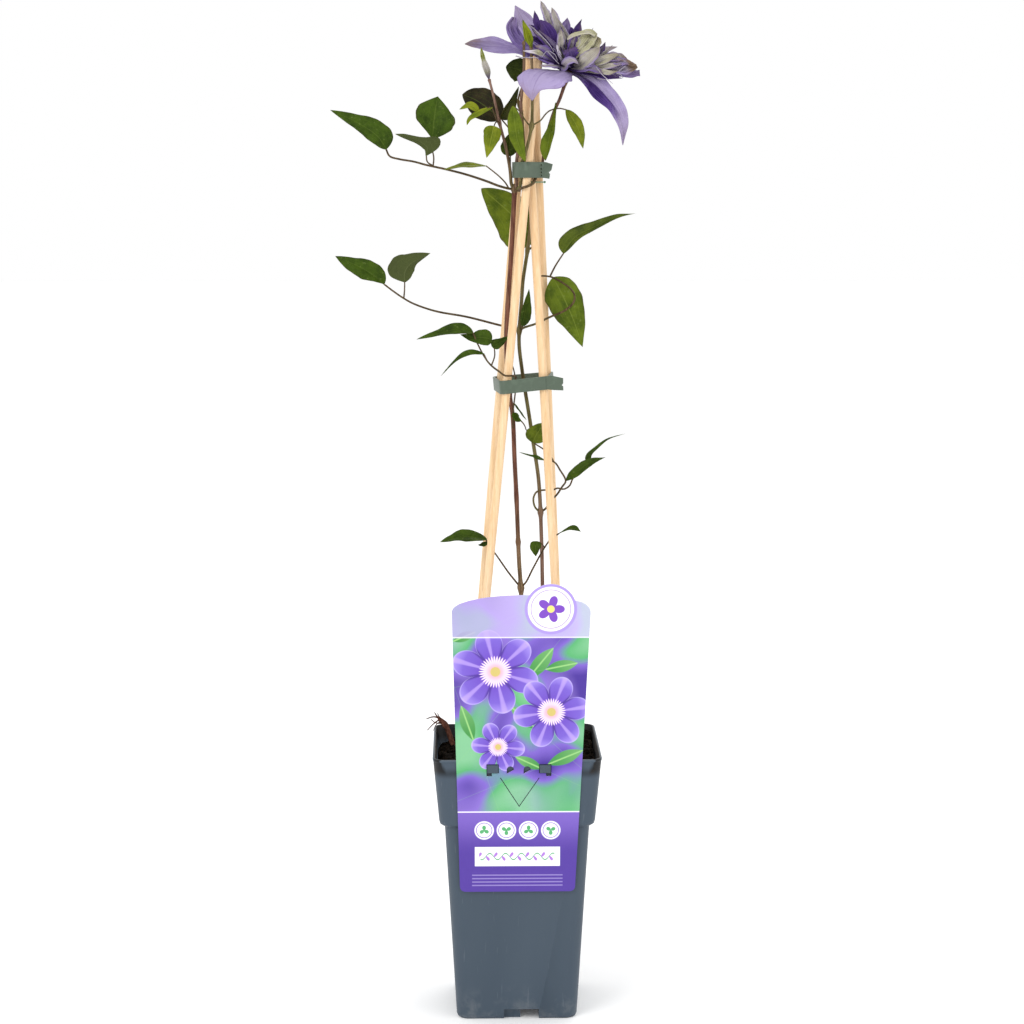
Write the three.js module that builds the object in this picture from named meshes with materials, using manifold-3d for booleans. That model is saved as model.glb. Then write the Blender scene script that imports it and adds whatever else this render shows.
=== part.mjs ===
// A young double blue clematis in a square climber pot, tied up a pyramid of four canes.
// Millimetres, +Z up. The origin is the centre of the pot's underside, and the label faces -Y.
import * as THREE from "three";
import { mergeVertices } from "three/addons/utils/BufferGeometryUtils.js";
import Module from "manifold-3d";

const wasm = await Module();
wasm.setup();

// Driving dimensions
const potHeight = 198;
const potWall = 1.6;
const rimHalf = 61;
const collarHeight = 50;
const collarFootHalf = 56.2;
const bodyTopHalf = 52.6;
const bodyFootHalf = 44;
const cornerRadius = 9;
const drainWidth = 25;
const drainHeight = 7.5;
const caneRadius = 3;
const caneBuried = 65;
const caneFootLevel = 190;
const caneHeadLevel = 698;
const leafThick = 0.8;
const petalThick = 0.8;
const labelThick = 0.7;
const lowerStrapHeight = 9.6;
const upperStrapHeight = 11.2;
const strapThick = 1.1;
const gap = 0.3;

// A point: x to the right, y to the back, z up.
const at = (x, y, z) => new THREE.Vector3(x, y, z);
const points = (...rows) => rows.map(([x, y, z]) => at(x, y, z));
const towardsViewer = at(0, -1, 0);
const upwards = at(0, 0, 1);

// Repeatable random numbers from 0 to 1.
function seeded(seed) {
  let state = seed;
  return () => {
    state = (state * 16807) % 2147483647;
    return state / 2147483647;
  };
}

// Solids and meshes

function toSolid(geometry) {
  const bare = geometry.clone();
  bare.deleteAttribute("normal");
  bare.deleteAttribute("uv");
  const merged = mergeVertices(bare, 1e-3);
  const { array } = merged.index;
  const corners = [];
  for (let i = 0; i < array.length; i += 3) {
    const [a, b, c] = [array[i], array[i + 1], array[i + 2]];
    if (a !== b && b !== c && c !== a) corners.push(a, b, c);
  }
  return new wasm.Manifold(
    new wasm.Mesh({
      numProp: 3,
      vertProperties: new Float32Array(merged.attributes.position.array),
      triVerts: new Uint32Array(corners),
    }),
  );
}

function toGeometry(solid) {
  const mesh = solid.getMesh();
  const geometry = new THREE.BufferGeometry();
  geometry.setAttribute("position", new THREE.BufferAttribute(mesh.vertProperties, 3));
  geometry.setIndex(new THREE.BufferAttribute(mesh.triVerts, 1));
  geometry.computeVertexNormals();
  return geometry;
}

const joined = (...geometries) =>
  geometries.flat(Infinity).map(toSolid).reduce((whole, piece) => whole.add(piece));

// A closed skin from rows of points: each row is a loop, and the first and last loops are capped.
function loft(rows) {
  const count = rows[0].length;
  const positions = rows.flat().flatMap((p) => [p.x, p.y, p.z]);
  const index = [];
  for (let row = 0; row < rows.length - 1; row++)
    for (let i = 0; i < count; i++) {
      const a = row * count + i;
      const b = row * count + ((i + 1) % count);
      index.push(a, b, b + count, a, b + count, a + count);
    }
  const last = (rows.length - 1) * count;
  for (let i = 1; i < count - 1; i++) {
    index.push(0, i + 1, i);
    index.push(last, last + i, last + i + 1);
  }
  const geometry = new THREE.BufferGeometry();
  geometry.setAttribute("position", new THREE.Float32BufferAttribute(positions, 3));
  geometry.setIndex(index);
  return geometry;
}

// A round rod from one point to another.
function rod(from, to, radius, sides = 16) {
  const path = new THREE.LineCurve3(from, to);
  return new THREE.ExtrudeGeometry(polygon(radius, sides), { steps: 1, extrudePath: path });
}

function polygon(radius, sides) {
  const corners = Array.from({ length: sides }, (_, i) => {
    const turn = (2 * Math.PI * i) / sides;
    return new THREE.Vector2(radius * Math.cos(turn), radius * Math.sin(turn));
  });
  return new THREE.Shape(corners);
}

// A stem or petiole: a few-sided tube on a smooth curve through the given points.
function twig(line, radius, sides = 5, stepLength = 11) {
  const path = new THREE.CatmullRomCurve3(line, false, "centripetal");
  const steps = Math.max(2, Math.ceil(path.getLength() / stepLength));
  return new THREE.ExtrudeGeometry(polygon(radius, sides), { steps, extrudePath: path });
}

// A swollen joint on a stem.
function knot(centre, radius, stretch = 1.2) {
  const ball = new THREE.SphereGeometry(radius, 6, 4);
  ball.rotateX(Math.PI / 2);
  ball.scale(1, 1, stretch);
  ball.translate(centre.x, centre.y, centre.z);
  return ball;
}

// The half width of a blade from its base (0) to its tip (1), as a share of its greatest:
// a sine hump, widest at peak, raised to a power.
const swelling =
  (peak, power = 1) =>
  (t) =>
    Math.sin(Math.PI * t ** (Math.log(0.5) / Math.log(peak))) ** power;

const ovate = swelling(0.36, 0.95);
const heart = swelling(0.27, 0.9);
const lance = swelling(0.36, 1.15);

// A thin leaf or petal. Its midrib runs through the spine's points, its upper side looks along face,
// and its left and right halves are folded up from the midrib by fold, and waved along their edges.
// Left is the left half when the tip points up and the upper side is seen.
function blade({
  spine,
  face = towardsViewer,
  faceAtTip = face,
  left,
  right = left,
  outline = ovate,
  leftOutline = outline,
  rightOutline = outline,
  fold = 0.3,
  wave = 0,
  waves = 2,
  rows = 7,
  halfColumns = 2,
  thick = leafThick,
}) {
  const midrib = new THREE.CatmullRomCurve3(spine, false, "centripetal");
  const leastHalf = 0.45;
  const across = 2 * halfColumns + 1;
  const front = [];
  const back = [];
  const pointAt = (t, v) => {
    const along = midrib.getTangent(t);
    const facing = face.clone().lerp(faceAtTip, t);
    const leftward = facing.clone().cross(along).normalize();
    const normal = along.clone().cross(leftward).normalize();
    const half = v < 0 ? left * leftOutline(t) : right * rightOutline(t);
    const reach = Math.abs(v) * Math.max(half, t < 1 ? leastHalf : 0);
    const ripple = wave * v * v * Math.sin(2 * Math.PI * waves * t + (v < 0 ? 0 : 2));
    const lift = reach * Math.sin(fold) + ripple;
    return {
      point: midrib
        .getPoint(t)
        .addScaledVector(leftward, -Math.sign(v) * reach * Math.cos(fold))
        .addScaledVector(normal, t < 1 ? lift : 0),
      normal,
    };
  };
  for (let row = 0; row <= rows; row++) {
    const t = row / rows;
    const columns = row < rows ? across : 1;
    for (let column = 0; column < columns; column++) {
      const v = columns === 1 ? 0 : (column - halfColumns) / halfColumns;
      const { point, normal } = pointAt(t, v);
      front.push(point.clone().addScaledVector(normal, thick / 2));
      back.push(point.clone().addScaledVector(normal, -thick / 2));
    }
  }
  const side = front.length;
  const tip = side - 1;
  const index = [];
  // A triangle of the upper side, with its twin on the lower side.
  const pair = (a, b, c) => index.push(a, b, c, side + a, side + c, side + b);
  for (let row = 0; row < rows - 1; row++)
    for (let column = 0; column < across - 1; column++) {
      const a = row * across + column;
      const b = a + 1;
      const c = b + across;
      const d = a + across;
      if (column < halfColumns) {
        pair(a, b, c);
        pair(a, c, d);
      } else {
        pair(a, b, d);
        pair(b, c, d);
      }
    }
  const lastRow = (rows - 1) * across;
  for (let column = 0; column < across - 1; column++)
    pair(lastRow + column, lastRow + column + 1, tip);
  // The rim runs from the base's left corner along the base, up the right edge, and down the left edge.
  const rim = [];
  for (let column = 0; column < across; column++) rim.push(column);
  for (let row = 1; row < rows; row++) rim.push(row * across + across - 1);
  rim.push(tip);
  for (let row = rows - 1; row > 0; row--) rim.push(row * across);
  rim.forEach((a, i) => {
    const b = rim[(i + 1) % rim.length];
    index.push(a, side + a, side + b, a, side + b, b);
  });
  const geometry = new THREE.BufferGeometry();
  const positions = [...front, ...back].flatMap((p) => [p.x, p.y, p.z]);
  geometry.setAttribute("position", new THREE.Float32BufferAttribute(positions, 3));
  geometry.setIndex(index);
  return geometry;
}

// Materials

const finish = (color, roughness, metalness = 0) =>
  new THREE.MeshStandardMaterial({ color, roughness, metalness });

const slateplastic = finish(0x5c6873, 0.45);
const compost = finish(0x1d130d, 0.95);
const deadRoot = finish(0x3d2119, 0.9);
const paleWood = finish(0xf0cfa2, 0.6);
const strapPlastic = finish(0x66766a, 0.4);
const wireGreen = finish(0x3f6a4a, 0.5);
const card = finish(0x7c62c4, 0.35);
const brownStem = finish(0x6b4638, 0.7);
const oliveStem = finish(0x6f7038, 0.65);
const leafGreen = finish(0x2f5f1c, 0.55);
const darkLeaf = finish(0x2b2f1a, 0.6);
const limeLeaf = finish(0x7e9420, 0.5);
const lilacPetal = finish(0x9a86cf, 0.6);
const violetPetal = finish(0x5c3c9c, 0.6);

const plant = new THREE.Group();

function addPiece(name, solid, material) {
  const mesh = new THREE.Mesh(toGeometry(solid.asOriginal().simplify(0.03)), material);
  mesh.name = name;
  plant.add(mesh);
  return solid;
}

// Pot

// A square loop with round corners, at height z.
function squareLoop(half, radius, z, perCorner = 6) {
  const loop = [];
  for (let corner = 0; corner < 4; corner++)
    for (let i = 0; i < perCorner; i++) {
      const turn = (Math.PI / 2) * (corner + i / (perCorner - 1));
      const quarter = (Math.PI / 2) * corner + Math.PI / 4;
      const inset = (half - radius) * Math.SQRT2;
      const x = inset * Math.cos(quarter) + radius * Math.cos(turn);
      const y = inset * Math.sin(quarter) + radius * Math.sin(turn);
      loop.push(at(x, y, z));
    }
  return loop;
}

const collarFoot = potHeight - collarHeight;
const bodyHalfAt = (z) => bodyFootHalf + ((bodyTopHalf - bodyFootHalf) * z) / collarFoot;
const collarHalfAt = (z) =>
  collarFootHalf + ((rimHalf - collarFootHalf) * (z - collarFoot)) / collarHeight;
const floorThick = 2;

const potOutside = loft([
  squareLoop(bodyHalfAt(0) - 1.8, cornerRadius - 1.8, 0),
  squareLoop(bodyHalfAt(0) - 0.6, cornerRadius - 0.6, 0.8),
  squareLoop(bodyHalfAt(2.5), cornerRadius, 2.5),
  squareLoop(bodyHalfAt(collarFoot - 2), cornerRadius, collarFoot - 2),
  squareLoop(collarHalfAt(collarFoot) - 1.6, cornerRadius, collarFoot - 0.6),
  squareLoop(collarHalfAt(collarFoot) - 0.3, cornerRadius, collarFoot + 0.6),
  squareLoop(collarHalfAt(collarFoot + 3), cornerRadius, collarFoot + 3),
  squareLoop(rimHalf - 0.4, cornerRadius, potHeight - 2.2),
  squareLoop(rimHalf, cornerRadius, potHeight - 1.6),
  squareLoop(rimHalf, cornerRadius, potHeight - 0.5),
  squareLoop(rimHalf - 0.5, cornerRadius, potHeight),
]);

// The pot's hollow, with its wall set in by the given amount more.
const hollow = (inset, top) =>
  loft([
    squareLoop(bodyHalfAt(floorThick) - potWall - inset, cornerRadius - potWall, floorThick + inset),
    squareLoop(bodyHalfAt(collarFoot) - potWall - inset, cornerRadius - potWall, collarFoot + inset),
    squareLoop(
      collarHalfAt(collarFoot + 2) - potWall - inset,
      cornerRadius - potWall,
      collarFoot + 3 + inset,
    ),
    squareLoop(collarHalfAt(top) - potWall - inset, cornerRadius - potWall, top),
  ]);

const block = (width, depth, height, x, y, z) => {
  const box = new THREE.BoxGeometry(width, depth, height);
  box.translate(x, y, z + height / 2);
  return box;
};

// A drain slot: a shallow recess in the wall's foot, with a channel behind its right-hand half
// that leads inwards.
const slotReach = 30;
const slotInner = bodyFootHalf - slotReach;
function drainSlot(turn, grow = 0) {
  const recess = block(
    drainWidth + 2 * grow,
    6 + 2 * grow,
    drainHeight + 1 + grow,
    3,
    -bodyFootHalf + 1,
    -1,
  );
  const channel = block(
    drainWidth / 2 + 1 + 2 * grow,
    slotReach + 3 + 2 * grow,
    drainHeight + 1 + grow,
    3 + drainWidth / 4,
    -slotInner - (slotReach + 3) / 2,
    -1,
  );
  return joined(recess, channel).rotate([0, 0, turn]);
}
const drainTurns = [0, 90, 180, 270];
const drains = (grow) => drainTurns.map((turn) => drainSlot(turn, grow)).reduce((a, b) => a.add(b));

// Drain holes through the channels' roofs.
const drainHoles = drainTurns
  .map((turn) => {
    const hole = rod(at(3 + drainWidth / 4, -24, 3), at(3 + drainWidth / 4, -24, 14), 3.2, 12);
    return toSolid(hole).rotate([0, 0, turn]);
  })
  .reduce((a, b) => a.add(b));

// Two small lugs on the collar's front, on which the label's outer cut-outs hang.
const collarLean = Math.atan((rimHalf - collarFootHalf) / collarHeight);
const lugLevel = 191.9;
const lugPlaces = [-17.9, 19.8];
const lugs = lugPlaces.map((x) => {
  const lug = new THREE.BoxGeometry(7.8, 5, 5.8);
  lug.rotateX(collarLean);
  lug.translate(x, -collarHalfAt(lugLevel) + 0.6, lugLevel);
  return lug;
});

const potCavity = toSolid(hollow(0, potHeight + 1)).subtract(drains(potWall));
const pot = joined(potOutside, lugs)
  .subtract(potCavity)
  .subtract(drains(0))
  .subtract(drainHoles);
addPiece("pot", pot, slateplastic);

// Canes

// Where each cane's axis crosses the foot level and the head level.
const canes = {
  cane_front_left: [at(-34, -35, caneFootLevel), at(16.3, -8, caneHeadLevel)],
  cane_back_left: [at(-34, 34, caneFootLevel), at(9.2, 7.5, caneHeadLevel)],
  cane_front_right: [at(35.5, -34, caneFootLevel), at(5.9, 0.5, caneHeadLevel)],
  cane_back_right: [at(36, 34, caneFootLevel), at(12.6, 1.5, caneHeadLevel)],
};
const caneEnd = ([foot, head]) => foot.clone().sub(head).setLength(caneBuried).add(foot);
for (const [name, axis] of Object.entries(canes))
  addPiece(name, toSolid(rod(caneEnd(axis), axis[1], caneRadius)), paleWood);

// Straps round the canes

// The outline that a tight strap takes round circles of given centre and radius, grown by a margin.
function tightOutline(circles, margin, perCircle = 24) {
  const cloud = circles.flatMap(({ x, y, r }) =>
    Array.from({ length: perCircle }, (_, i) => {
      const turn = (2 * Math.PI * i) / perCircle;
      return new THREE.Vector2(x + (r + margin) * Math.cos(turn), y + (r + margin) * Math.sin(turn));
    }),
  );
  cloud.sort((a, b) => a.x - b.x || a.y - b.y);
  const turnOf = (o, a, b) => (a.x - o.x) * (b.y - o.y) - (a.y - o.y) * (b.x - o.x);
  const chain = (list) => {
    const kept = [];
    for (const p of list) {
      while (kept.length > 1 && turnOf(kept.at(-2), kept.at(-1), p) <= 1e-6) kept.pop();
      kept.push(p);
    }
    kept.pop();
    return kept;
  };
  return [...chain(cloud), ...chain([...cloud].reverse())];
}

function ringPrism(circles, inner, thick, height) {
  const ring = new THREE.Shape(tightOutline(circles, inner + thick));
  ring.holes.push(new THREE.Path(tightOutline(circles, inner).reverse()));
  const prism = new THREE.ExtrudeGeometry(ring, { depth: height, bevelEnabled: false });
  prism.translate(0, 0, -height / 2);
  return prism;
}

// The canes' circles at both edges of a band that lies in the given frame.
function caneCircles(names, frame, height) {
  const inverse = frame.clone().invert();
  return names.flatMap((name) => {
    const [foot, head] = canes[name].map((p) => p.clone().applyMatrix4(inverse));
    return [-height / 2, height / 2].map((level) => {
      const share = (level - foot.z) / (head.z - foot.z);
      const centre = foot.clone().lerp(head, share);
      return { x: centre.x, y: centre.y, r: caneRadius + 0.05 };
    });
  });
}

const frameAt = (origin, tilt) =>
  new THREE.Matrix4().makeRotationY(tilt).setPosition(origin);

// A strap's tail: a slanted tongue with a notched end, standing off the strap's right front corner.
// Its far end is as far below its root as droop says, and leans by slant from top to bottom.
function strapTail({ length, height, droop, slant, turn, place }) {
  const outline = new THREE.Shape();
  const half = height / 2;
  outline.moveTo(0, -half);
  outline.lineTo(length * 0.4, -half - droop * 0.5);
  outline.lineTo(length - slant, -half - droop);
  outline.lineTo(length - slant * 0.8, -half * 0.4 - droop);
  outline.lineTo(length - slant * 0.8 - 0.9, -half * 0.2 - droop);
  outline.lineTo(length - slant * 0.4, half * 0.1 - droop);
  outline.lineTo(length, half * 0.85 - droop);
  outline.lineTo(length * 0.35, half);
  outline.lineTo(0, half);
  const tail = new THREE.ExtrudeGeometry(outline, { depth: strapThick, bevelEnabled: false });
  tail.rotateX(Math.PI / 2);
  tail.rotateZ(turn);
  tail.translate(place.x, place.y, place.z);
  return tail;
}

const allCanes = Object.keys(canes);
const clipSlack = 0.35;

// The lower clip rises to the right. Small holes pierce its right side behind the corner.
const lowerFrame = frameAt(at(6, 0, 464), -0.09);
const lowerCircles = caneCircles(allCanes, lowerFrame, lowerStrapHeight);
const lowerHoles = [2, -2.2].map((z) => rod(at(14, -13.6, z), at(26, -13.6, z), 0.9, 8));
const lowerClip = joined(
  ringPrism(lowerCircles, clipSlack, strapThick, lowerStrapHeight),
  strapTail({
    length: 12.3,
    height: lowerStrapHeight,
    droop: 1.8,
    slant: 0.6,
    turn: 0.12,
    place: at(15.6, -18.6, 0),
  }),
)
  .subtract(joined(lowerHoles))
  .transform(lowerFrame.elements);
addPiece("clip_lower", lowerClip, strapPlastic);

// The upper clip also holds three shoots against the canes.
const upperFrame = frameAt(at(10, 0, 617.2), 0);
const heldShoots = [
  { x: -9.7, y: -3.6, r: 1.2 },
  { x: -6.3, y: -11.6, r: 1.2 },
  { x: 9, y: -3.1, r: 1.2 },
];
const upperCircles = [...caneCircles(allCanes, upperFrame, upperStrapHeight), ...heldShoots];
const upperHoles = [3.4, 0.6, -1.8, -4].map((z) => rod(at(4, -4, z), at(10, -10.5, z), 0.8, 6));
const upperClip = joined(
  ringPrism(upperCircles, clipSlack, strapThick, upperStrapHeight),
  strapTail({
    length: 7.8,
    height: upperStrapHeight,
    droop: 0.7,
    slant: 2.4,
    turn: 0.06,
    place: at(8.4, -5.5, 0),
  }),
)
  .subtract(joined(upperHoles))
  .transform(upperFrame.elements);
addPiece("clip_upper", upperClip, strapPlastic);

// A wire tie round the two right-hand canes, just under the upper clip.
const wireFrame = frameAt(at(10, 0, 608.6), 0.02);
const wireCircles = caneCircles(["cane_front_right", "cane_back_right"], wireFrame, 1);
const wireTie = toSolid(ringPrism(wireCircles, 0.3, 0.9, 0.9)).transform(wireFrame.elements);
addPiece("wire_tie", wireTie, wireGreen);

// Label

// The card's outline in its own plane: x to the right, y up, with 0 at the cut-outs' foot.
function cardOutline() {
  const foot = -88;
  const outline = new THREE.Shape();
  outline.moveTo(-37, foot);
  outline.lineTo(37, foot);
  outline.quadraticCurveTo(41.6, foot, 41.9, foot + 4);
  outline.lineTo(51.4, 121);
  outline.quadraticCurveTo(51.6, 126, 45, 129);
  outline.absarc(23.2, 124, 18.2, 0.35, 2.55, false);
  outline.bezierCurveTo(2, 134.3, -26, 134.3, -41, 128);
  outline.quadraticCurveTo(-47.4, 125, -46.8, 121);
  outline.lineTo(-41.6, foot + 4);
  outline.quadraticCurveTo(-41.3, foot, -37, foot);
  return outline;
}

const outlineOf = (corners) => new THREE.Shape(corners.map(([x, y]) => new THREE.Vector2(x, y)));

// A cut-out for a lug, with a leg on its outer side.
const hookOutline = (x, outward) => {
  const corners = [[4.4, 0], [4.4, 9], [-4.4, 9], [-4.4, 2.2], [0.6, 2.2], [0.6, 0]];
  return outlineOf(corners.map(([across, up]) => [x + outward * across, up]));
};

const archOutline = (x) => {
  const arch = new THREE.Shape();
  arch.moveTo(x + 2.6, 1.8);
  arch.absarc(x, 4.8, 2.6, 0, Math.PI, false);
  arch.lineTo(x - 2.6, 1.8);
  return arch;
};

// The slit round the V flap, which stays joined to the card along its top.
const flapTip = 1.2;
const slitOutline = outlineOf([
  [-12.8, -1.2],
  [flapTip, -23.4],
  [flapTip + 14.8, -1.2],
  [flapTip + 14, -1.2],
  [flapTip, -22.3],
  [-12, -1.2],
]);

const sheetOf = (outline, depth, lift = 0) => {
  const sheet = new THREE.ExtrudeGeometry(outline, { depth, bevelEnabled: false, curveSegments: 8 });
  sheet.translate(0, 0, lift);
  return toSolid(sheet);
};
const cutOuts = [
  hookOutline(lugPlaces[0], -1),
  hookOutline(lugPlaces[1], 1),
  archOutline(-5.2),
  archOutline(6.9),
  slitOutline,
].map((outline) => sheetOf(outline, 3, -1));
const labelFoot = 186.3;
const flatCard = cutOuts.reduce((sheet, cut) => sheet.subtract(cut), sheetOf(cardOutline(), labelThick));
const label = flatCard
  .rotate([90 + THREE.MathUtils.radToDeg(collarLean), 0, 0])
  .translate([0, -collarHalfAt(labelFoot) - gap, labelFoot]);
addPiece("label", label, card);

// Stems

const brownLine = points(
  [5, 2, 165], [4.5, 2, 200], [4, 2, 306], [2.3, 1, 334], [0.5, -1, 378], [-1, -3, 408], [-2.5, -5, 441],
  [-4.7, -6, 456], [-6.5, -6, 477], [-7, -4, 499], [-5.7, -2, 524], [-3.2, 0, 560], [-1, 0.5, 602],
);
const greenLine = points(
  [20, 4, 165], [20, 4, 230], [19.7, 4, 311], [18.9, 3, 348], [16.6, 0, 393], [12.8, -2, 419],
  [10.1, -3, 437], [4.4, -3, 473.5], [2.3, -1, 492], [2.6, 0, 505], [4.2, 2, 524], [5.2, 3, 538],
  [8.5, 4, 560], [10.6, 4, 582], [9.6, 3.8, 596], [7.4, 3.6, 607], [7, 3.5, 620], [6.4, 3.6, 640],
  [4.6, 4.4, 655], [1, 6, 668],
);
const brownRadius = 1.7;
const greenRadius = 1.4;
const topNode = at(-1, 0.5, 603.5);
const lowNode = at(3.6, 1.7, 313);
const twiningNode = at(18.2, 2, 369);
const middleNode = at(2.5, 0, 502);

// The stems, grown by a margin.
const brownStemSolid = (margin) =>
  joined(
    twig(brownLine, brownRadius + margin, 6, 16),
    knot(lowNode, 2.6 + margin, 1.4),
    knot(at(1.4, 0, 347), 2.1 + margin, 0.8),
    knot(topNode, 2.6 + margin, 1.1),
  );
const greenStemSolid = (margin) =>
  joined(
    twig(greenLine, greenRadius + margin, 6, 16),
    knot(twiningNode, 2.2 + margin, 1.3),
    knot(middleNode, 2.2 + margin, 1.2),
  );

// Soil

const soilLevel = 187;
const soilTop = (x, y) =>
  soilLevel +
  0.07 * x +
  0.06 * y +
  2.2 * Math.sin(x / 7 + 1) * Math.cos(y / 8 + 0.4) +
  1.3 * Math.sin(x / 3.3 + 2) * Math.sin(y / 3.9 + 1);
const soilCells = 11;
const soilBlock = new THREE.BoxGeometry(130, 130, 1, soilCells, soilCells, 1);
const soilPoints = soilBlock.attributes.position;
for (let i = 0; i < soilPoints.count; i++) {
  const isTop = soilPoints.getZ(i) > 0;
  soilPoints.setZ(i, isTop ? soilTop(soilPoints.getX(i), soilPoints.getY(i)) : -5);
}
const caneHoles = Object.values(canes).map((axis) => {
  const deep = caneEnd(axis).sub(axis[1]).setLength(0.5).add(caneEnd(axis));
  return rod(deep, axis[1], caneRadius + gap, 12);
});
const stemHole = (line, radius) => {
  const [foot, next] = line;
  return rod(at(foot.x, foot.y, foot.z - 0.5), at(next.x, next.y, 230), radius + 1.2, 10);
};

const rootLine = points([-45, 36, 178], [-48, 40, 190], [-52.7, 44, 201], [-58, 46, 206]);
const soil = toSolid(hollow(gap, potHeight))
  .intersect(toSolid(soilBlock))
  .subtract(drains(potWall + gap))
  .subtract(joined(caneHoles))
  .subtract(toSolid(stemHole(brownLine, brownRadius)))
  .subtract(toSolid(stemHole(greenLine, greenRadius)))
  .subtract(toSolid(twig([at(-44.7, 35.7, 176.8), ...rootLine], 2.6, 6, 6)));
addPiece("soil", soil, compost);

// A dead root that reaches over the left rim, with its broken fingers.
const deadRootSolid = joined(
  twig(rootLine, 1.9, 6, 6),
  twig(points([-57, 46, 205.4], [-62.6, 46, 206.6], [-67, 44, 205.5]), 0.8, 5, 3),
  twig(points([-57.4, 46, 205.8], [-59.3, 47, 207.6], [-60.8, 48, 210]), 0.8, 5, 3),
  twig(points([-56.6, 45.6, 205], [-61.5, 42.5, 202], [-66.3, 40, 197.5]), 0.7, 5, 3),
  twig(points([-53.5, 44.4, 202], [-60, 49, 201.5], [-63.5, 50, 204]), 0.7, 5, 3),
);
addPiece("dry_root", deadRootSolid, deadRoot);

addPiece("stem_brown", brownStemSolid(0), brownStem);
addPiece("stem_green", greenStemSolid(0), oliveStem);

// Shoots above the upper clip

const budShoot = (margin) => joined(
  twig(points(
    [-3.4, -1.4, 607.6], [-3.9, -2.2, 613.1], [-4.7, -2.4, 620], [-7.4, -3.2, 633.7], [-12, -5, 651],
    [-15.3, -7, 666], [-19.4, -9, 681.5],
  ), 1.2 + margin, 7),
  twig(points([-19, -8.8, 680], [-21.4, -9.4, 687.5], [-22.9, -10, 693]), 1.9 + margin, 7, 4),
  twig(points([-22.7, -10, 692], [-24, -10.6, 697], [-24.7, -11, 700]), 1.3 + margin, 6, 3),
  knot(at(-24.8, -11, 700), 1.2 + margin, 1.8),
);
addPiece("shoot_bud_left", budShoot(0), brownStem);

const middleShoot = (margin) => joined(
  twig(points(
    [0.4, -2.8, 607], [0.3, -3.6, 611], [0.3, -3.6, 622.6], [2.4, -8, 640], [3.4, -12, 666],
    [5.3, -14, 687], [5.3, -14, 706],
  ), 1.1 + margin, 7),
  knot(at(5.3, -14, 706.5), 1.7 + margin, 1.3),
);
addPiece("shoot_bud_middle", middleShoot(0), brownStem);

const leafNode = at(10.7, -17.5, 648);
const leafShoot = (margin) => joined(
  twig(points(
    [2.6, -3.8, 605], [3.3, -8, 608], [3.7, -11.6, 613], [3.7, -11.6, 621.5], [5.8, -15.6, 627],
    [8.2, -17.5, 636], [10.7, -17.5, 647.6], [11.2, -16, 662], [11.1, -14.5, 686], [10.3, -14, 705],
  ), 1.05 + margin, 7),
  knot(leafNode, 2 + margin, 1.2),
  blade({
    spine: points([10.3, -14.2, 704], [9, -14, 713], [4.4, -13, 722.4]),
    face: at(1, -0.6, 0),
    left: 3.4,
    fold: 0.7,
    rows: 6,
    halfColumns: 1,
    thick: 1.6,
  }),
);
addPiece("shoot_leafy", leafShoot(0), oliveStem);

const stalk = joined(
  twig(points(
    [2.4, -2.8, 602.4], [2, -8, 602.8], [1.9, -13, 603.4], [4.2, -17.6, 604.4], [8.9, -18.4, 606],
    [12, -15.4, 607.8], [13, -11.6, 609.6], [13.8, -8.9, 611.3], [15.8, -6.2, 614.5], [17.8, -4, 618],
    [19, -3.2, 622], [19.6, -3.3, 627], [21.6, -5, 640.2], [26.7, -6, 657.5], [31.1, -5, 667.2],
    [34, -3.6, 675.4], [36, -2, 681.5],
  ), 0.95, 6, 5),
);
addPiece("stalk_flower", stalk, brownStem);

// Leaves

// A leafy piece starts inside its stem, and is cut back to a small gap from it.
const addLeaf = (name, stem, solid, material) => addPiece(name, solid.subtract(stem(gap)), material);

const underside = at(0, 0.8, 0.6);
const small = { rows: 5, halfColumns: 1 };

addLeaf(
  "leaf_low_left",
  brownStemSolid,
  joined(
    twig(points(
      [3.6, 1.7, 313], [0.2, 3, 317], [-5.6, 6, 324], [-15.5, 8, 338], [-21.2, 6, 345], [-21.6, 4.6, 348.6],
    ), 0.75),
    blade({
      spine: points([-21.2, 4.4, 348.4], [-34.9, 2, 350.6], [-45.6, 0, 349.8], [-55.6, -2, 347.4]),
      face: at(0, -0.6, 0.8),
      left: 6.4,
      wave: 0.5,
    }),
    blade({
      spine: points([-20.6, 5.4, 346.2], [-24.4, 4, 344.3], [-27.8, 3, 344.6]),
      face: at(0, -0.7, 0.7),
      left: 2.2,
      ...small,
    }),
  ),
  leafGreen,
);

addLeaf(
  "leaf_low_right",
  brownStemSolid,
  joined(
    twig(points(
      [3.6, 1.7, 313], [7.2, 0, 317], [12.5, -3, 328], [21, -6, 344], [25.5, -5, 350], [31.6, -4, 354],
    ), 0.75),
    blade({
      spine: points([31, -4, 353.6], [36.8, -6, 356.9], [42.6, -7.5, 358], [47.5, -8, 355.6]),
      face: at(0, -0.6, 0.8),
      left: 2.7,
      outline: swelling(0.6, 1.2),
      rows: 6,
      halfColumns: 1,
    }),
    twig(points([21, -6, 344], [18, -8.2, 347.4], [15.4, -9.8, 348.8]), 0.7),
    blade({
      spine: points([15.6, -9.8, 349], [14, -12, 344.6], [14.3, -12.6, 338.2]),
      face: at(-0.2, -1, 0.3),
      left: 4.4,
      rows: 6,
      halfColumns: 1,
    }),
  ),
  leafGreen,
);

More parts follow.
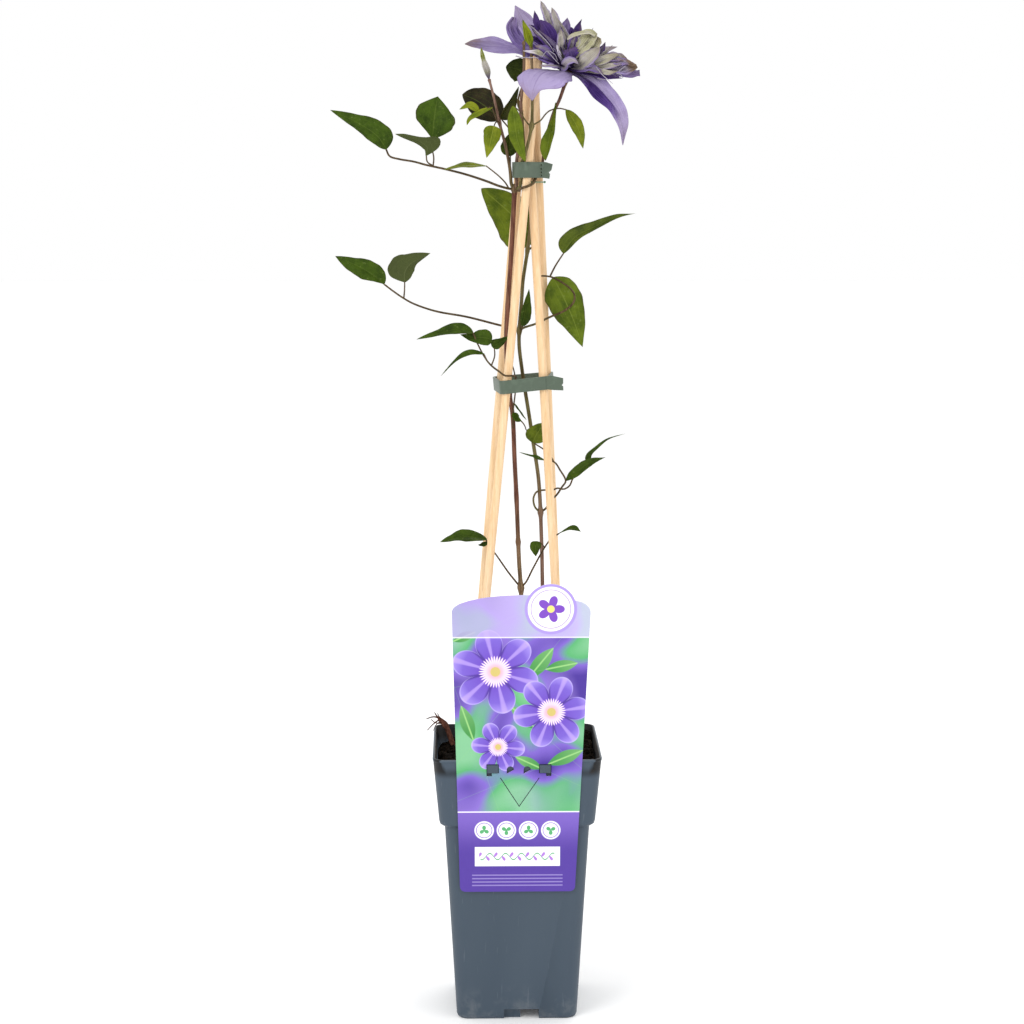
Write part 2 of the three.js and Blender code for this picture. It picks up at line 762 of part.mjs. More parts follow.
addLeaf(
  "leaf_twining",
  greenStemSolid,
  joined(
    twig(points(
      [18.2, 2, 369], [21.8, 1, 371.6], [26.8, 0, 378.8], [30, 0, 382], [33.7, -2, 388], [36.3, -3, 392.4],
      [32.2, -2, 400.3], [28, 0, 406], [20.7, -2, 407.3],
    ), 0.75, 5, 6),
    blade({
      spine: points([21.5, -1.8, 407.2], [16, -5.8, 409.6], [11.6, -7.2, 411.2], [1.8, -8.4, 414.3]),
      face: at(0, -0.7, 0.7),
      left: 1.9,
      outline: lance,
      rows: 6,
      halfColumns: 1,
    }),
    blade({
      spine: points([36.2, -3, 392.4], [46.6, -5, 400.9], [55.3, -6, 406.8], [65.5, -5, 410.1]),
      face: at(-0.4, -0.8, 0.5),
      left: 4.6,
      outline: lance,
      wave: 0.3,
    }),
    twig(points(
      [27.6, 0, 406.4], [24.5, -2, 411.5], [20.6, -4, 415.4], [15.2, -8, 419.3], [12, -9, 421.8],
    ), 0.65),
    blade({
      spine: points([12, -9, 421], [15, -8.4, 427.5], [22, -5.6, 436]),
      face: at(0.2, -1, 0.2),
      left: 8,
      right: 7,
      fold: 0.15,
      rows: 6,
      halfColumns: 1,
    }),
  ),
  leafGreen,
);

addLeaf(
  "leaf_looped",
  greenStemSolid,
  joined(
    twig(points(
      [18.2, 2, 369], [15, 0.6, 371.4], [13.2, 0, 375], [13, -1, 380.4], [15.4, -2.6, 384.6],
      [21.9, -4, 386], [26.4, -1, 385.3], [30.5, 2.4, 386.5], [35.3, 4.4, 385.5], [39.4, 4.4, 388],
      [42, 4, 393.7], [47, 3, 399.7], [52.6, 1, 406],
    ), 0.7),
    blade({
      spine: points(
        [52.6, 1, 405.8], [53.8, 0.5, 411], [58.3, 0, 415.6], [66.8, 0, 422.6], [80, 2, 426.6],
      ),
      face: at(-0.3, -0.7, 0.6),
      left: 2.5,
      outline: swelling(0.2, 1.1),
      wave: 0.2,
      rows: 9,
    }),
  ),
  leafGreen,
);

addLeaf(
  "leaf_curled",
  brownStemSolid,
  joined(
    twig(points(
      [-1.9, -4.2, 431], [-2.2, -7.4, 433], [-2.2, -8.4, 443.4], [-0.8, -8.6, 456], [-0.1, -8.6, 464],
      [-1.4, -10, 472.5], [-2.6, -11, 477],
    ), 0.65),
    blade({
      spine: points([-2, -8.6, 443], [0.2, -10.6, 438.6], [4.2, -11, 437]),
      face: at(0.3, -1, 0.3),
      left: 3.2,
      fold: 0.5,
      ...small,
    }),
    twig(points([3.6, -10.8, 437.2], [6, -10, 434], [7.4, -8.6, 430]), 0.5, 5, 4),
    blade({
      spine: points([-1.6, -8.8, 450], [3, -8.6, 443.5], [7.6, -8, 437.4]),
      face: at(0.5, -0.8, 0.4),
      left: 0.9,
      ...small,
    }),
  ),
  leafGreen,
);

addLeaf(
  "leaf_left_low",
  brownStemSolid,
  joined(
    twig(points(
      [-5, -6, 458], [-2.6, -9.4, 461], [-1.6, -13, 464], [-0.4, -19, 469.6], [-3, -24.8, 471],
      [-8.3, -25.6, 471.2],
      [-12.6, -23, 474], [-18, -21, 478], [-22, -20, 482.7], [-27.6, -20, 493], [-31.4, -20, 502],
    ), 0.75, 6, 6),
    blade({
      spine: points([-31, -20, 501.4], [-40, -21, 504], [-55, -22, 501.4], [-71.8, -24, 497]),
      face: at(0, -0.72, 0.7),
      left: 5.2,
      wave: 0.5,
    }),
    blade({
      spine: points([-17.5, -17.4, 496.4], [-24, -18.6, 498], [-31, -19.4, 498], [-40.4, -19.2, 500.2]),
      face: at(0, -0.9, 0.4),
      left: 6.2,
      outline: heart,
      fold: 0.15,
    }),
    twig(points([-18, -21, 478], [-15.6, -17.6, 485], [-16, -14.6, 491.4]), 0.6),
    blade({
      spine: points([-17.6, -14.6, 491.2], [-12, -12.8, 494], [-4.6, -11.8, 499]),
      face: at(0.1, -0.9, 0.3),
      left: 4.4,
      right: 4,
      leftOutline: swelling(0.2, 0.9),
      rightOutline: heart,
      ...small,
    }),
    twig(points([-21.4, -20, 482], [-23.3, -21, 486.4]), 0.6),
    blade({
      spine: points([-23, -21, 486.4], [-33.9, -22, 487.2], [-43.9, -22.5, 481.6], [-54.5, -24, 470.6]),
      face: at(0, -0.7, 0.7),
      left: 2.7,
      outline: swelling(0.3, 1.4),
      rows: 9,
    }),
  ),
  leafGreen,
);

addLeaf(
  "leaf_left_middle",
  greenStemSolid,
  joined(
    twig(points(
      [2.5, 0, 502], [0.7, 4, 502], [-1.2, 12, 502.3], [-4, 22, 503.2], [-8.9, 25.6, 503.8],
      [-14.8, 24.6, 505.3],
      [-35.4, 16, 511], [-58.6, 6, 515.8], [-74, 0, 521.4], [-81, -3, 525.4], [-88.7, -5, 530.8],
      [-95.4, -6, 536],
    ), 0.8),
    blade({
      spine: points([-95, -6, 535.6], [-104.6, -7.5, 543.4], [-116.2, -9, 550], [-129.8, -10, 556]),
      face: at(0.2, -0.9, 0.45),
      left: 9.4,
      right: 8.6,
      leftOutline: swelling(0.55, 0.95),
      rightOutline: swelling(0.3, 0.95),
      wave: 0.5,
    }),
    twig(points([-81, -3, 525.4], [-80.4, -4, 531.4], [-80, -6, 538]), 0.7),
    blade({
      spine: points([-80.2, -5.8, 537], [-79.6, -8.4, 545], [-74.4, -12, 551.4], [-61.5, -16, 558.2]),
      face: underside,
      left: 6.5,
      right: 13,
      rightOutline: swelling(0.32, 0.95),
      wave: 0.4,
    }),
  ),
  leafGreen,
);

addLeaf(
  "leaf_left_upper",
  brownStemSolid,
  joined(
    twig(points(
      [-1, 0.5, 603.5], [-5.4, -1.2, 604], [-12.2, -3, 605.8], [-21.5, -5, 609.3], [-36, -8, 614],
      [-51, -10, 617.8], [-64, -12, 620.6], [-73, -12, 623], [-83.6, -13, 624.8], [-90.3, -13, 626.9],
      [-92.8, -14, 632],
    ), 0.85),
    blade({
      spine: points([-92.6, -14, 631.6], [-99, -15.5, 640.8], [-113, -17, 650.2], [-132, -18, 659.2]),
      face: at(0.1, -0.95, 0.35),
      left: 7.4,
      right: 13.5,
      leftOutline: swelling(0.42, 0.9),
      rightOutline: swelling(0.3, 0.95),
      fold: 0.2,
      wave: 0.5,
    }),
    twig(points([-59.3, -11.2, 620], [-63.4, -13, 622.8], [-64.2, -15, 627.6]), 0.65),
    blade({
      spine: points([-64.2, -15, 627], [-65.6, -18, 632.6], [-73.6, -21.5, 637.4], [-85.8, -24, 642.2]),
      face: underside,
      left: 8.6,
      right: 6.4,
      leftOutline: swelling(0.24, 0.7),
      rightOutline: swelling(0.4, 0.95),
      fold: 0.2,
    }),
    twig(points([-59.3, -11.2, 620], [-58.9, -9, 626], [-60.2, -7.4, 633], [-60.2, -7, 640]), 0.65),
    blade({
      spine: points([-60.2, -7, 638.4], [-58.6, -6.4, 653], [-55.8, -5, 669.2]),
      face: at(0, -1, 0.15),
      left: 14,
      right: 15.5,
      leftOutline: swelling(0.6, 1),
      rightOutline: swelling(0.46, 1.05),
      fold: 0.12,
      wave: 0.7,
    }),
    twig(points([-5.2, -1.2, 604.1], [-7.6, -3.4, 608], [-12.8, -6.4, 613.2], [-21.8, -12, 620.2]), 0.65),
    blade({
      spine: points([-21.2, -11.8, 619.8], [-36.8, -14, 620], [-52.2, -16, 617.2]),
      face: at(0, -0.35, 0.94),
      left: 5.4,
      outline: swelling(0.42, 1),
      fold: 0.15,
      rows: 7,
    }),
  ),
  leafGreen,
);

addLeaf(
  "leaf_back",
  greenStemSolid,
  joined(
    twig(points(
      [8.5, 4, 560], [10.8, 7.4, 561], [13.2, 11.6, 562.4], [15.6, 18, 564], [15, 22.6, 566.4],
    ), 0.8, 6, 6),
    blade({
      spine: points([15, 22.8, 566], [6, 25, 577], [-8, 26.4, 590], [-24.8, 27, 604]),
      left: 19.5,
      right: 14.5,
      leftOutline: swelling(0.27, 0.75),
      rightOutline: swelling(0.5, 0.8),
      fold: 0.08,
      wave: 0.4,
    }),
  ),
  leafGreen,
);

addLeaf(
  "leaf_right",
  greenStemSolid,
  joined(
    twig(points(
      [2.5, 0, 502], [6, 1, 504], [13.9, 2, 506.5], [24.8, 2, 511.6], [35.9, -4, 517], [41.6, -7, 523],
      [42, -6, 528], [39, -1.6, 532.5], [33.5, 3, 536.5], [27, 3.4, 540], [22, 1, 541.2],
      [17, 0, 541.3],
    ), 0.8, 6, 6),
    blade({
      spine: points([27, 4, 540.2], [34, 6, 527], [42, 6.5, 509], [48.6, 4, 489.6]),
      face: at(0.1, -0.98, 0.2),
      left: 13,
      right: 11.6,
      fold: 0.1,
      wave: 0.6,
    }),
    twig(points([24.6, 2.6, 540.6], [28.6, 3, 548.4], [34.9, 4, 558]), 0.7),
    blade({
      spine: points([34.4, 4, 557.4], [42.4, 2, 568.4], [54.9, 0, 575.6], [73.3, 0, 584], [86.6, 2, 586.2]),
      face: at(-0.3, -0.85, 0.45),
      left: 8,
      right: 3.8,
      leftOutline: swelling(0.17, 1.3),
      rightOutline: swelling(0.3, 1.1),
      fold: 0.25,
      rows: 9,
      wave: 0.3,
    }),
  ),
  leafGreen,
);

addLeaf(
  "leaf_small_middle",
  greenStemSolid,
  joined(
    twig(points([2.5, 0, 502], [4.4, -2.8, 503], [4.6, -4, 506]), 0.7),
    blade({
      spine: points([4.6, -4, 505], [6.6, -5.4, 517], [9.4, -6, 532.4]),
      face: at(0.1, -1, 0),
      left: 3,
      right: 5,
      fold: 0.2,
      rows: 6,
    }),
  ),
  leafGreen,
);

// The three light leaves at the leafy shoot's node.
addLeaf(
  "leaf_top_left",
  leafShoot,
  joined(
    twig(points(
      [10.7, -17.5, 648], [8.2, -19.6, 649.4], [5.5, -20.8, 653], [2.4, -22, 658], [-2, -22, 661.6],
    ), 0.7),
    blade({
      spine: points([-2.6, -22, 662], [-1.4, -23.4, 650], [0.8, -23.2, 637], [6.4, -22, 622.6]),
      left: 5.8,
      outline: swelling(0.45, 0.8),
      fold: 0.3,
      wave: 0.4,
    }),
  ),
  leafGreen,
);

addLeaf(
  "leaf_top_right",
  leafShoot,
  joined(
    twig(points(
      [10.7, -17.5, 648], [13.6, -18.2, 649.8], [16.7, -17.5, 651.5], [20.8, -16, 656.5], [24, -13.6, 659],
      [30.2, -11, 660.6], [35.4, -9, 659.8],
    ), 0.65, 6, 6),
    blade({
      spine: points(
        [28.2, -12, 664.6], [25.6, -13.4, 652], [23.8, -13.8, 641], [22.4, -13.4, 633], [20.9, -12.4, 623.6],
      ),
      face: at(-0.4, -0.9, 0),
      left: 4.4,
      right: 6,
      leftOutline: swelling(0.45, 0.8),
      rightOutline: swelling(0.7, 1),
      fold: 0.5,
      wave: 0.4,
    }),
    blade({
      spine: points([35.2, -9, 660], [40.6, -10.4, 652.6], [45, -10.2, 644], [47.9, -8, 632.2]),
      face: at(0.1, -1, 0.1),
      left: 4.8,
      outline: swelling(0.45, 0.9),
      fold: 0.25,
      wave: 0.3,
    }),
  ),
  limeLeaf,
);

addLeaf(
  "leaf_top_lime",
  budShoot,
  joined(
    twig(points([-11.2, -5, 649.8], [-13, -7.6, 651.2], [-14.6, -9, 650.8], [-15.9, -10.4, 648]), 0.6),
    blade({
      spine: points([-16, -10.2, 648.2], [-18.2, -12.4, 638.4], [-21.2, -12, 625.6]),
      face: at(0.1, -1, 0.1),
      left: 6.6,
      outline: heart,
      fold: 0.2,
      wave: 0.3,
    }),
    twig(points(
      [-13.4, -8, 651], [-15.4, -9.4, 656], [-17.8, -10.4, 661.2], [-22.4, -11.6, 660],
      [-27, -12, 658.4],
    ), 0.55, 5, 5),
    blade({
      spine: points([-17, -10.4, 661.2], [-25.8, -13, 657.4], [-33.7, -13.6, 652.3], [-35.2, -13.6, 648.6]),
      face: at(-0.2, -0.9, 0.5),
      left: 3,
      fold: 0.3,
      ...small,
    }),
    blade({
      spine: points([-26.4, -11.8, 658.4], [-33, -12, 662.4], [-40.6, -12, 659.8]),
      face: at(0, -0.9, 0.5),
      left: 4,
      fold: 0.3,
      ...small,
    }),
  ),
  limeLeaf,
);

addLeaf(
  "leaf_top_dark",
  middleShoot,
  joined(
    twig(points([2.3, -7.6, 639], [-0.6, -5.2, 641.6], [-5.7, -1.4, 647.7], [-11, 1.4, 654]), 0.75),
    blade({
      spine: points([-10.6, 1.6, 653], [-20, 5, 661], [-30, 8, 667.6], [-38.4, 9, 671]),
      face: at(0.1, -1, 0.2),
      left: 11,
      right: 12,
      outline: swelling(0.42, 0.75),
      fold: 0.1,
      wave: 0.6,
    }),
    blade({
      spine: points([-10.8, 1, 653.4], [-5, -1.4, 663.6], [2, -5, 676.4]),
      face: at(0.5, -0.9, 0),
      left: 3,
      right: 6.4,
      outline: heart,
      fold: 0.4,
      rows: 6,
      halfColumns: 1,
    }),
  ),
  darkLeaf,
);

addLeaf(
  "leaf_behind_flower",
  greenStemSolid,
  joined(
    twig(points([3, 5, 660], [1.6, 9, 664], [3, 15, 672], [6, 20, 679], [10, 23, 684.4]), 0.7, 6, 6),
    blade({
      spine: points([10, 23, 683.8], [3, 23.6, 689], [-6.8, 23, 691.4]),
      left: 9,
      right: 8.4,
      outline: swelling(0.5, 0.7),
      fold: 0.08,
      wave: 0.4,
      rows: 6,
    }),
  ),
  darkLeaf,
);

addLeaf(
  "leaf_above_clip",
  brownStemSolid,
  joined(
    twig(points([-1, 0.5, 603.5], [-3.2, 3, 606], [-4, 3.6, 612], [-4, 3.6, 621], [-4, 3.4, 628]), 0.65),
    blade({
      spine: points([-4, 3.4, 627], [-4.6, 4.2, 635], [-1, 4, 646]),
      left: 6.4,
      fold: 0.15,
      rows: 6,
      halfColumns: 1,
    }),
  ),
  darkLeaf,
);

// Bloom

const bloomCentre = at(37.5, -1, 688);
const bloomAxis = at(0.3, -0.1, 0.95).normalize();

// The outer tepals: each one's midrib, the direction its upper side faces, and its half widths.
const tepals = [
  {
    spine: points(
      [36.5, -0.5, 687], [27, 4, 690], [14, 7.4, 694.5], [-6, 10, 698], [-22, 10, 702], [-37, 8, 705.5],
    ),
    face: at(0, 0.75, 0.65),
    left: 11,
    fold: 0.6,
    wave: 0.9,
  },
  {
    spine: points([36.5, 0, 687], [25.8, 8, 703.6], [15, 14, 719.2], [6.3, 17, 728.4], [-0.3, 17, 734.4]),
    face: at(0.35, -0.9, 0.3),
    left: 9.5,
    right: 10,
    fold: 0.2,
  },
  {
    spine: points([36.5, 0, 686.6], [18.4, 6, 698.1], [3.9, 10, 708.2], [-2, 12, 718], [-3.2, 12, 725.8]),
    face: at(0.3, -0.9, 0.3),
    left: 9.5,
    outline: swelling(0.62, 0.55),
    fold: 0.2,
  },
  {
    spine: points([37, -1.6, 686.6], [27, -19, 685], [19, -33, 680.5], [11.2, -41, 666]),
    face: at(0, -0.1, 1),
    faceAtTip: at(-0.2, -1, 0.3),
    left: 22,
    right: 18,
    fold: 0.12,
    wave: 1.4,
  },
  {
    spine: points(
      [38, -1, 686.6], [44.5, -4, 684.1], [56.2, -8, 678.6], [68.8, -11, 665.1], [75.4, -9, 650.7],
      [76.6, -6, 635],
    ),
    face: at(0.2, -0.6, 0.8),
    faceAtTip: at(0.7, -0.7, 0.3),
    left: 10,
    right: 11,
    fold: 0.3,
    wave: 1,
  },
  {
    spine: points([38, -0.5, 687], [49.4, 3, 685.8], [66.1, 6, 686.4], [79, 8, 686.2], [89.4, 8, 686.4]),
    face: at(0, -0.25, 1),
    left: 11,
    outline: swelling(0.6, 0.6),
    fold: 0.25,
    wave: 0.8,
  },
  {
    spine: points([38, 0, 687], [42, 20, 694], [46, 38, 697], [48, 54, 694]),
    face: upwards,
    faceAtTip: at(0, 0.8, 0.5),
    left: 17,
    fold: 0.15,
    wave: 1.2,
  },
  {
    spine: points([38, 0, 686.6], [57, 18, 692], [72, 31, 693], [83, 42, 691]),
    face: upwards,
    faceAtTip: at(0.6, 0.5, 0.6),
    left: 14,
    fold: 0.2,
    wave: 1,
  },
];
const tepalOutline = swelling(0.52, 0.85);

// The tepals on their receptacle, grown by a margin.
const tepalSolid = (margin) =>
  joined(
    knot(bloomCentre.clone().addScaledVector(upwards, -2.2), 4.6 + margin, 0.9),
    tepals.map((tepal) =>
      blade({
        outline: tepalOutline,
        ...tepal,
        left: tepal.left + margin,
        right: (tepal.right ?? tepal.left) + margin,
        rows: 7,
        thick: petalThick + 2 * margin,
      }),
    ),
  );

// The inner petals that turn to the front: each one's midrib from the bloom's heart, its half width
// and the direction its upper side faces.
const bloomHeart = at(36.5, -1, 687);
const frontPetals = [
  [[[-6, -2, 7], [-15, -5, 21], [-21, -6, 33], [-23.6, -4, 42.8]], 8, [0.6, -0.6, 0.5]],
  [[[-5, -6, 9], [-11, -9, 27], [-15, -8.5, 40], [-17.7, -6, 50]], 4, [0.3, 0.9, 0.3]],
  [[[-3, -6, 9], [-6, -9, 25], [-9, -9, 37], [-11.1, -7, 43.8]], 4.2, [0.1, 0.95, 0.2]],
  [[[-2, 4, 7], [-0.8, 8, 21], [0.3, 9, 31], [0.5, 8, 37.6]], 5.4, [0, -1, 0.3]],
  [[[1, 4, 7], [5.7, 8, 19], [9.2, 9, 29], [10.9, 9, 36.8]], 4.4, [-0.4, -0.9, 0.2]],
  [[[-2, -8, 7], [-3.3, -11, 17], [-4.3, -11.5, 30]], 3.8, [0, 1, 0.1]],
  [[[-7, -4, 6], [-16, -6, 16], [-22, -5, 25], [-27.3, -3, 32.5]], 5.2, [0.5, 0.3, 0.8]],
  [[[-7, -9, 3], [-14, -15, 9], [-21.3, -18.4, 15.3]], 5, [0.2, 0.3, 0.9]],
  [[[-7, -8, 2], [-16, -16, 7], [-24, -19, 11], [-30.5, -19, 13.1]], 3.2, [0.2, 0.3, 0.9]],
  [[[-8, -8, 0], [-18, -16, 4], [-28, -19, 7.3], [-37, -19, 9.4]], 3.6, [0.2, 0.3, 0.9]],
  [[[-7, -8, -1], [-16, -16, 2], [-26.3, -19.4, 6.3]], 3.4, [0.2, 0.3, 0.9]],
  [
    [[4, -8, 5], [13, -12, 11], [18, -13, 18], [13, -16, 23], [6, -16, 23.6], [-2, -16, 21.4]],
    8.6,
    [-0.6, 0.4, 0.9],
    [0.2, 0.6, -0.9],
  ],
  [[[0, -10, 7], [5, -14, 12], [11.2, -15, 16.8]], 5.4, [-0.2, 0.3, 0.9]],
  [[[1, -9, 1], [10, -14, 5], [18.7, -16, 9.8], [22.7, -15, 13.3]], 7, [0, 0.3, 0.9]],
  [[[-1, -10, 0], [3, -16, 5], [8.2, -18, 2.8]], 5, [0, 0.3, 0.9]],
  [[[8, -8, 3], [20, -12, 6], [30, -13, 9], [38.7, -12, 11.3]], 7.5, [-0.1, 0.2, 1]],
  [[[6, -8, 0], [20, -14, 0], [32, -16, -1], [41.7, -15, -3.7]], 5, [0, 0.1, 1]],
  [[[10, -4, 3], [26, -8, 7], [38, -9, 7.8], [47.7, -8, 3.3]], 7.6, [0, 0.1, 1]],
  [[[8, -2, 5], [22, 0, 11], [32.4, 2, 15.8]], 6, [-0.4, -0.2, 0.9]],
  [[[6, 0, 7], [16, 2, 14], [25.4, 3, 19.3]], 6, [-0.5, -0.2, 0.9]],
  [[[8, 0, 2], [24, 2, 5], [38, 3, 5], [49.7, 3, 2.5]], 6.5, [0, 0.1, 1]],
];

function frontPetal([offsets, half, face, faceAtTip = face]) {
  const spine = [at(0.4, 0, 2), ...points(...offsets)].map((offset) => offset.add(bloomHeart));
  return blade({
    spine,
    face: at(...face),
    faceAtTip: at(...faceAtTip),
    left: half,
    outline: swelling(0.5, 0.9),
    rows: spine.length - 1,
    halfColumns: 1,
    thick: petalThick,
  });
}

// The petals behind them, in arcs that rise from low and wide to steep and narrow.
const petalArcs = [
  { count: 3, from: 20, to: 165, elevation: 18, length: 41, half: 7.2 },
  { count: 3, from: 25, to: 155, elevation: 38, length: 38, half: 6.6 },
  { count: 2, from: 35, to: 145, elevation: 58, length: 34, half: 6.2 },
  { count: 1, from: 160, to: 205, elevation: 30, length: 37, half: 5.4 },
];
const radians = THREE.MathUtils.degToRad;

// Bearings run from the right (0) through the back (90) to the left (180).
const bloomRight = new THREE.Vector3().crossVectors(at(0, 1, 0), bloomAxis).normalize();

function backPetal(bearing, elevation, length, half, bend, twist) {
  const radial = bloomRight.clone().applyAxisAngle(bloomAxis, bearing);
  const lean = (angle) =>
    bloomAxis.clone().multiplyScalar(Math.sin(angle)).addScaledVector(radial, Math.cos(angle));
  const spine = [bloomCentre.clone().addScaledVector(bloomAxis, 4.2).addScaledVector(radial, 2)];
  [elevation + bend, elevation, elevation - bend * 0.6].forEach((angle) =>
    spine.push(spine.at(-1).clone().addScaledVector(lean(angle), length / 3)),
  );
  const inward = lean(elevation + Math.PI / 2);
  return blade({
    spine,
    face: inward.applyAxisAngle(lean(elevation), twist),
    left: half,
    outline: swelling(0.5, 0.95),
    fold: 0.35,
    rows: 4,
    halfColumns: 1,
    thick: petalThick,
  });
}

const random = seeded(12);
const spread = (amount) => (random() - 0.5) * 2 * amount;
const backPetals = petalArcs.flatMap(({ count, from, to, elevation, length, half }) =>
  Array.from({ length: count }, (_, i) =>
    backPetal(
      radians(from + ((to - from) * (i + 0.5)) / count + spread(7)),
      radians(elevation + spread(6)),
      length * (1 + spread(0.1)),
      half * (1 + spread(0.12)),
      radians(14 + spread(12)),
      spread(0.4),
    ),
  ),
);

const largestBody = (solid) => solid.decompose().reduce((a, b) => (a.volume() > b.volume() ? a : b));

// What the bloom keeps clear of: the canes' heads and the shoots before it.
const caneEnds = Object.values(canes).map(([foot, head]) => {
  const above = head.clone().sub(foot).setLength(1).add(head);
  return rod(foot, above, caneRadius + 2 * gap);
});
const inTheWay = joined(caneEnds).add(middleShoot(2 * gap)).add(leafShoot(2 * gap));
addPiece("bloom_tepals", largestBody(tepalSolid(0).subtract(inTheWay)), lilacPetal);
const heartKnot = knot(bloomCentre.clone().addScaledVector(bloomAxis, 5), 5, 0.9);
const crowd = joined(heartKnot, frontPetals.map(frontPetal), backPetals);
const innerPetals = crowd.subtract(tepalSolid(2 * gap)).subtract(inTheWay);
addPiece("bloom_inner_petals", largestBody(innerPetals), violetPetal);

export default plant;
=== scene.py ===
"""A young double blue clematis in a square climber pot, tied up four leaning canes.

Every shape is given in millimetres, with x to the right, y away from the viewer and z up from the pot's foot,
and is written to its mesh in metres.
"""

import math

import bmesh
import bpy
import numpy as np
from mathutils import Euler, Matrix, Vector


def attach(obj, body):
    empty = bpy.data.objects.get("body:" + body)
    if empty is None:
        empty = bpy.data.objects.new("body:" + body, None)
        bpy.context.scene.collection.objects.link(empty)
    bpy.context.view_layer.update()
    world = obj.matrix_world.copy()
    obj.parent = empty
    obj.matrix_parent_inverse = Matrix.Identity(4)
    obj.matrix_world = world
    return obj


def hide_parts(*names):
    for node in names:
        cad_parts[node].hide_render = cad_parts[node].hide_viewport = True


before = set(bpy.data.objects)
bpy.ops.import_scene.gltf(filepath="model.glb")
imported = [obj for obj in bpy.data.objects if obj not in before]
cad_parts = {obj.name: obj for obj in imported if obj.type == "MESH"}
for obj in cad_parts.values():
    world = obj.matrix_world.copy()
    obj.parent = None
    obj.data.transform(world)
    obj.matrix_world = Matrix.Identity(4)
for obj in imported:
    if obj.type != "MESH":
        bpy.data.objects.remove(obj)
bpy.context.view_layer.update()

MM = 0.001
TO_VIEWER = (0, -1, 0)
UNDERSIDE_SHOWN = (0, 0.8, 0.6)
VEIN_PLACES = (0.0, 0.4, 0.74)  # shares of a blade's half width at its foot
VEINS_CLOSE = 0.35  # how much nearer the midrib they lie at the tip
VEIN_HALF = 0.55
scene = bpy.context.scene


# Camera and light

CAMERA_PLACE = (-0.0382, -1.7996, 0.6071)  # metres
CAMERA_YAW = 0.01965  # radians
CAMERA_DROP = 0.13136  # radians
CAMERA_LENS = 87.24  # millimetres
SENSOR_WIDTH = 36  # millimetres
FARTHEST_SEEN = 60  # metres

camera = bpy.data.objects.new("camera", bpy.data.cameras.new("camera"))
camera.data.lens = CAMERA_LENS
camera.data.sensor_width = SENSOR_WIDTH
camera.data.clip_end = FARTHEST_SEEN
camera.location = CAMERA_PLACE
camera.rotation_euler = Euler((math.pi / 2 - CAMERA_DROP, 0, -CAMERA_YAW))
scene.collection.objects.link(camera)
scene.camera = camera
scene.view_settings.view_transform = "Standard"
scene.view_settings.look = "None"

SOFT_LIGHTS = (  # name, place, aim and size in metres, power in watts
    ("key_light", (-1.5, -1.9, 1.9), (0, 0, 0.4), 1.3, 26),
    ("fill_light", (1.9, -1.4, 0.9), (0, 0, 0.4), 1.6, 9),
    ("back_light", (0.6, 1.9, 1.7), (0, 0, 0.5), 1.4, 12),
)
for name, place, aim, size, power in SOFT_LIGHTS:
    lamp = bpy.data.lights.new(name, "AREA")
    lamp.size = size
    lamp.energy = power
    holder = bpy.data.objects.new(name, lamp)
    holder.location = place
    holder.rotation_euler = (Vector(aim) - Vector(place)).to_track_quat("-Z", "Y").to_euler()
    scene.collection.objects.link(holder)

sky = bpy.data.worlds.new("studio")
sky.use_nodes = True
sky.node_tree.nodes["Background"].inputs["Color"].default_value = (1, 1, 1, 1)
sky.node_tree.nodes["Background"].inputs["Strength"].default_value = 1.0
scene.world = sky


# Shader maths


def operator(kind, swapped=False):
    """A method that adds one Math node of that kind."""

    def method(self, *others):
        values = (self, *others)
        return self.look.math(kind, *(values[::-1] if swapped else values))

    return method


class Value:
    """One socket of a material's node tree. Arithmetic on it adds Math nodes."""

    def __init__(self, look, socket):
        self.look = look
        self.socket = socket

    __add__ = __radd__ = operator("ADD")
    __mul__ = __rmul__ = operator("MULTIPLY")
    __sub__, __rsub__ = operator("SUBTRACT"), operator("SUBTRACT", swapped=True)
    __truediv__ = operator("DIVIDE")
    __pow__ = operator("POWER")
    __abs__ = operator("ABSOLUTE")
    most, least = operator("MAXIMUM"), operator("MINIMUM")
    sin, cos = operator("SINE"), operator("COSINE")

    def rise(self, low, high):
        """0 below low, 1 above high, smooth between. With low above high it falls instead."""
        settings = {"interpolation_type": "SMOOTHSTEP", "clamp": True}
        sockets = {"Value": self, "From Min": low, "From Max": high, "To Min": 0.0, "To Max": 1.0}
        if low > high:
            sockets.update({"From Min": high, "From Max": low, "To Min": 1.0, "To Max": 0.0})
        return self.look.add("ShaderNodeMapRange", settings, sockets)


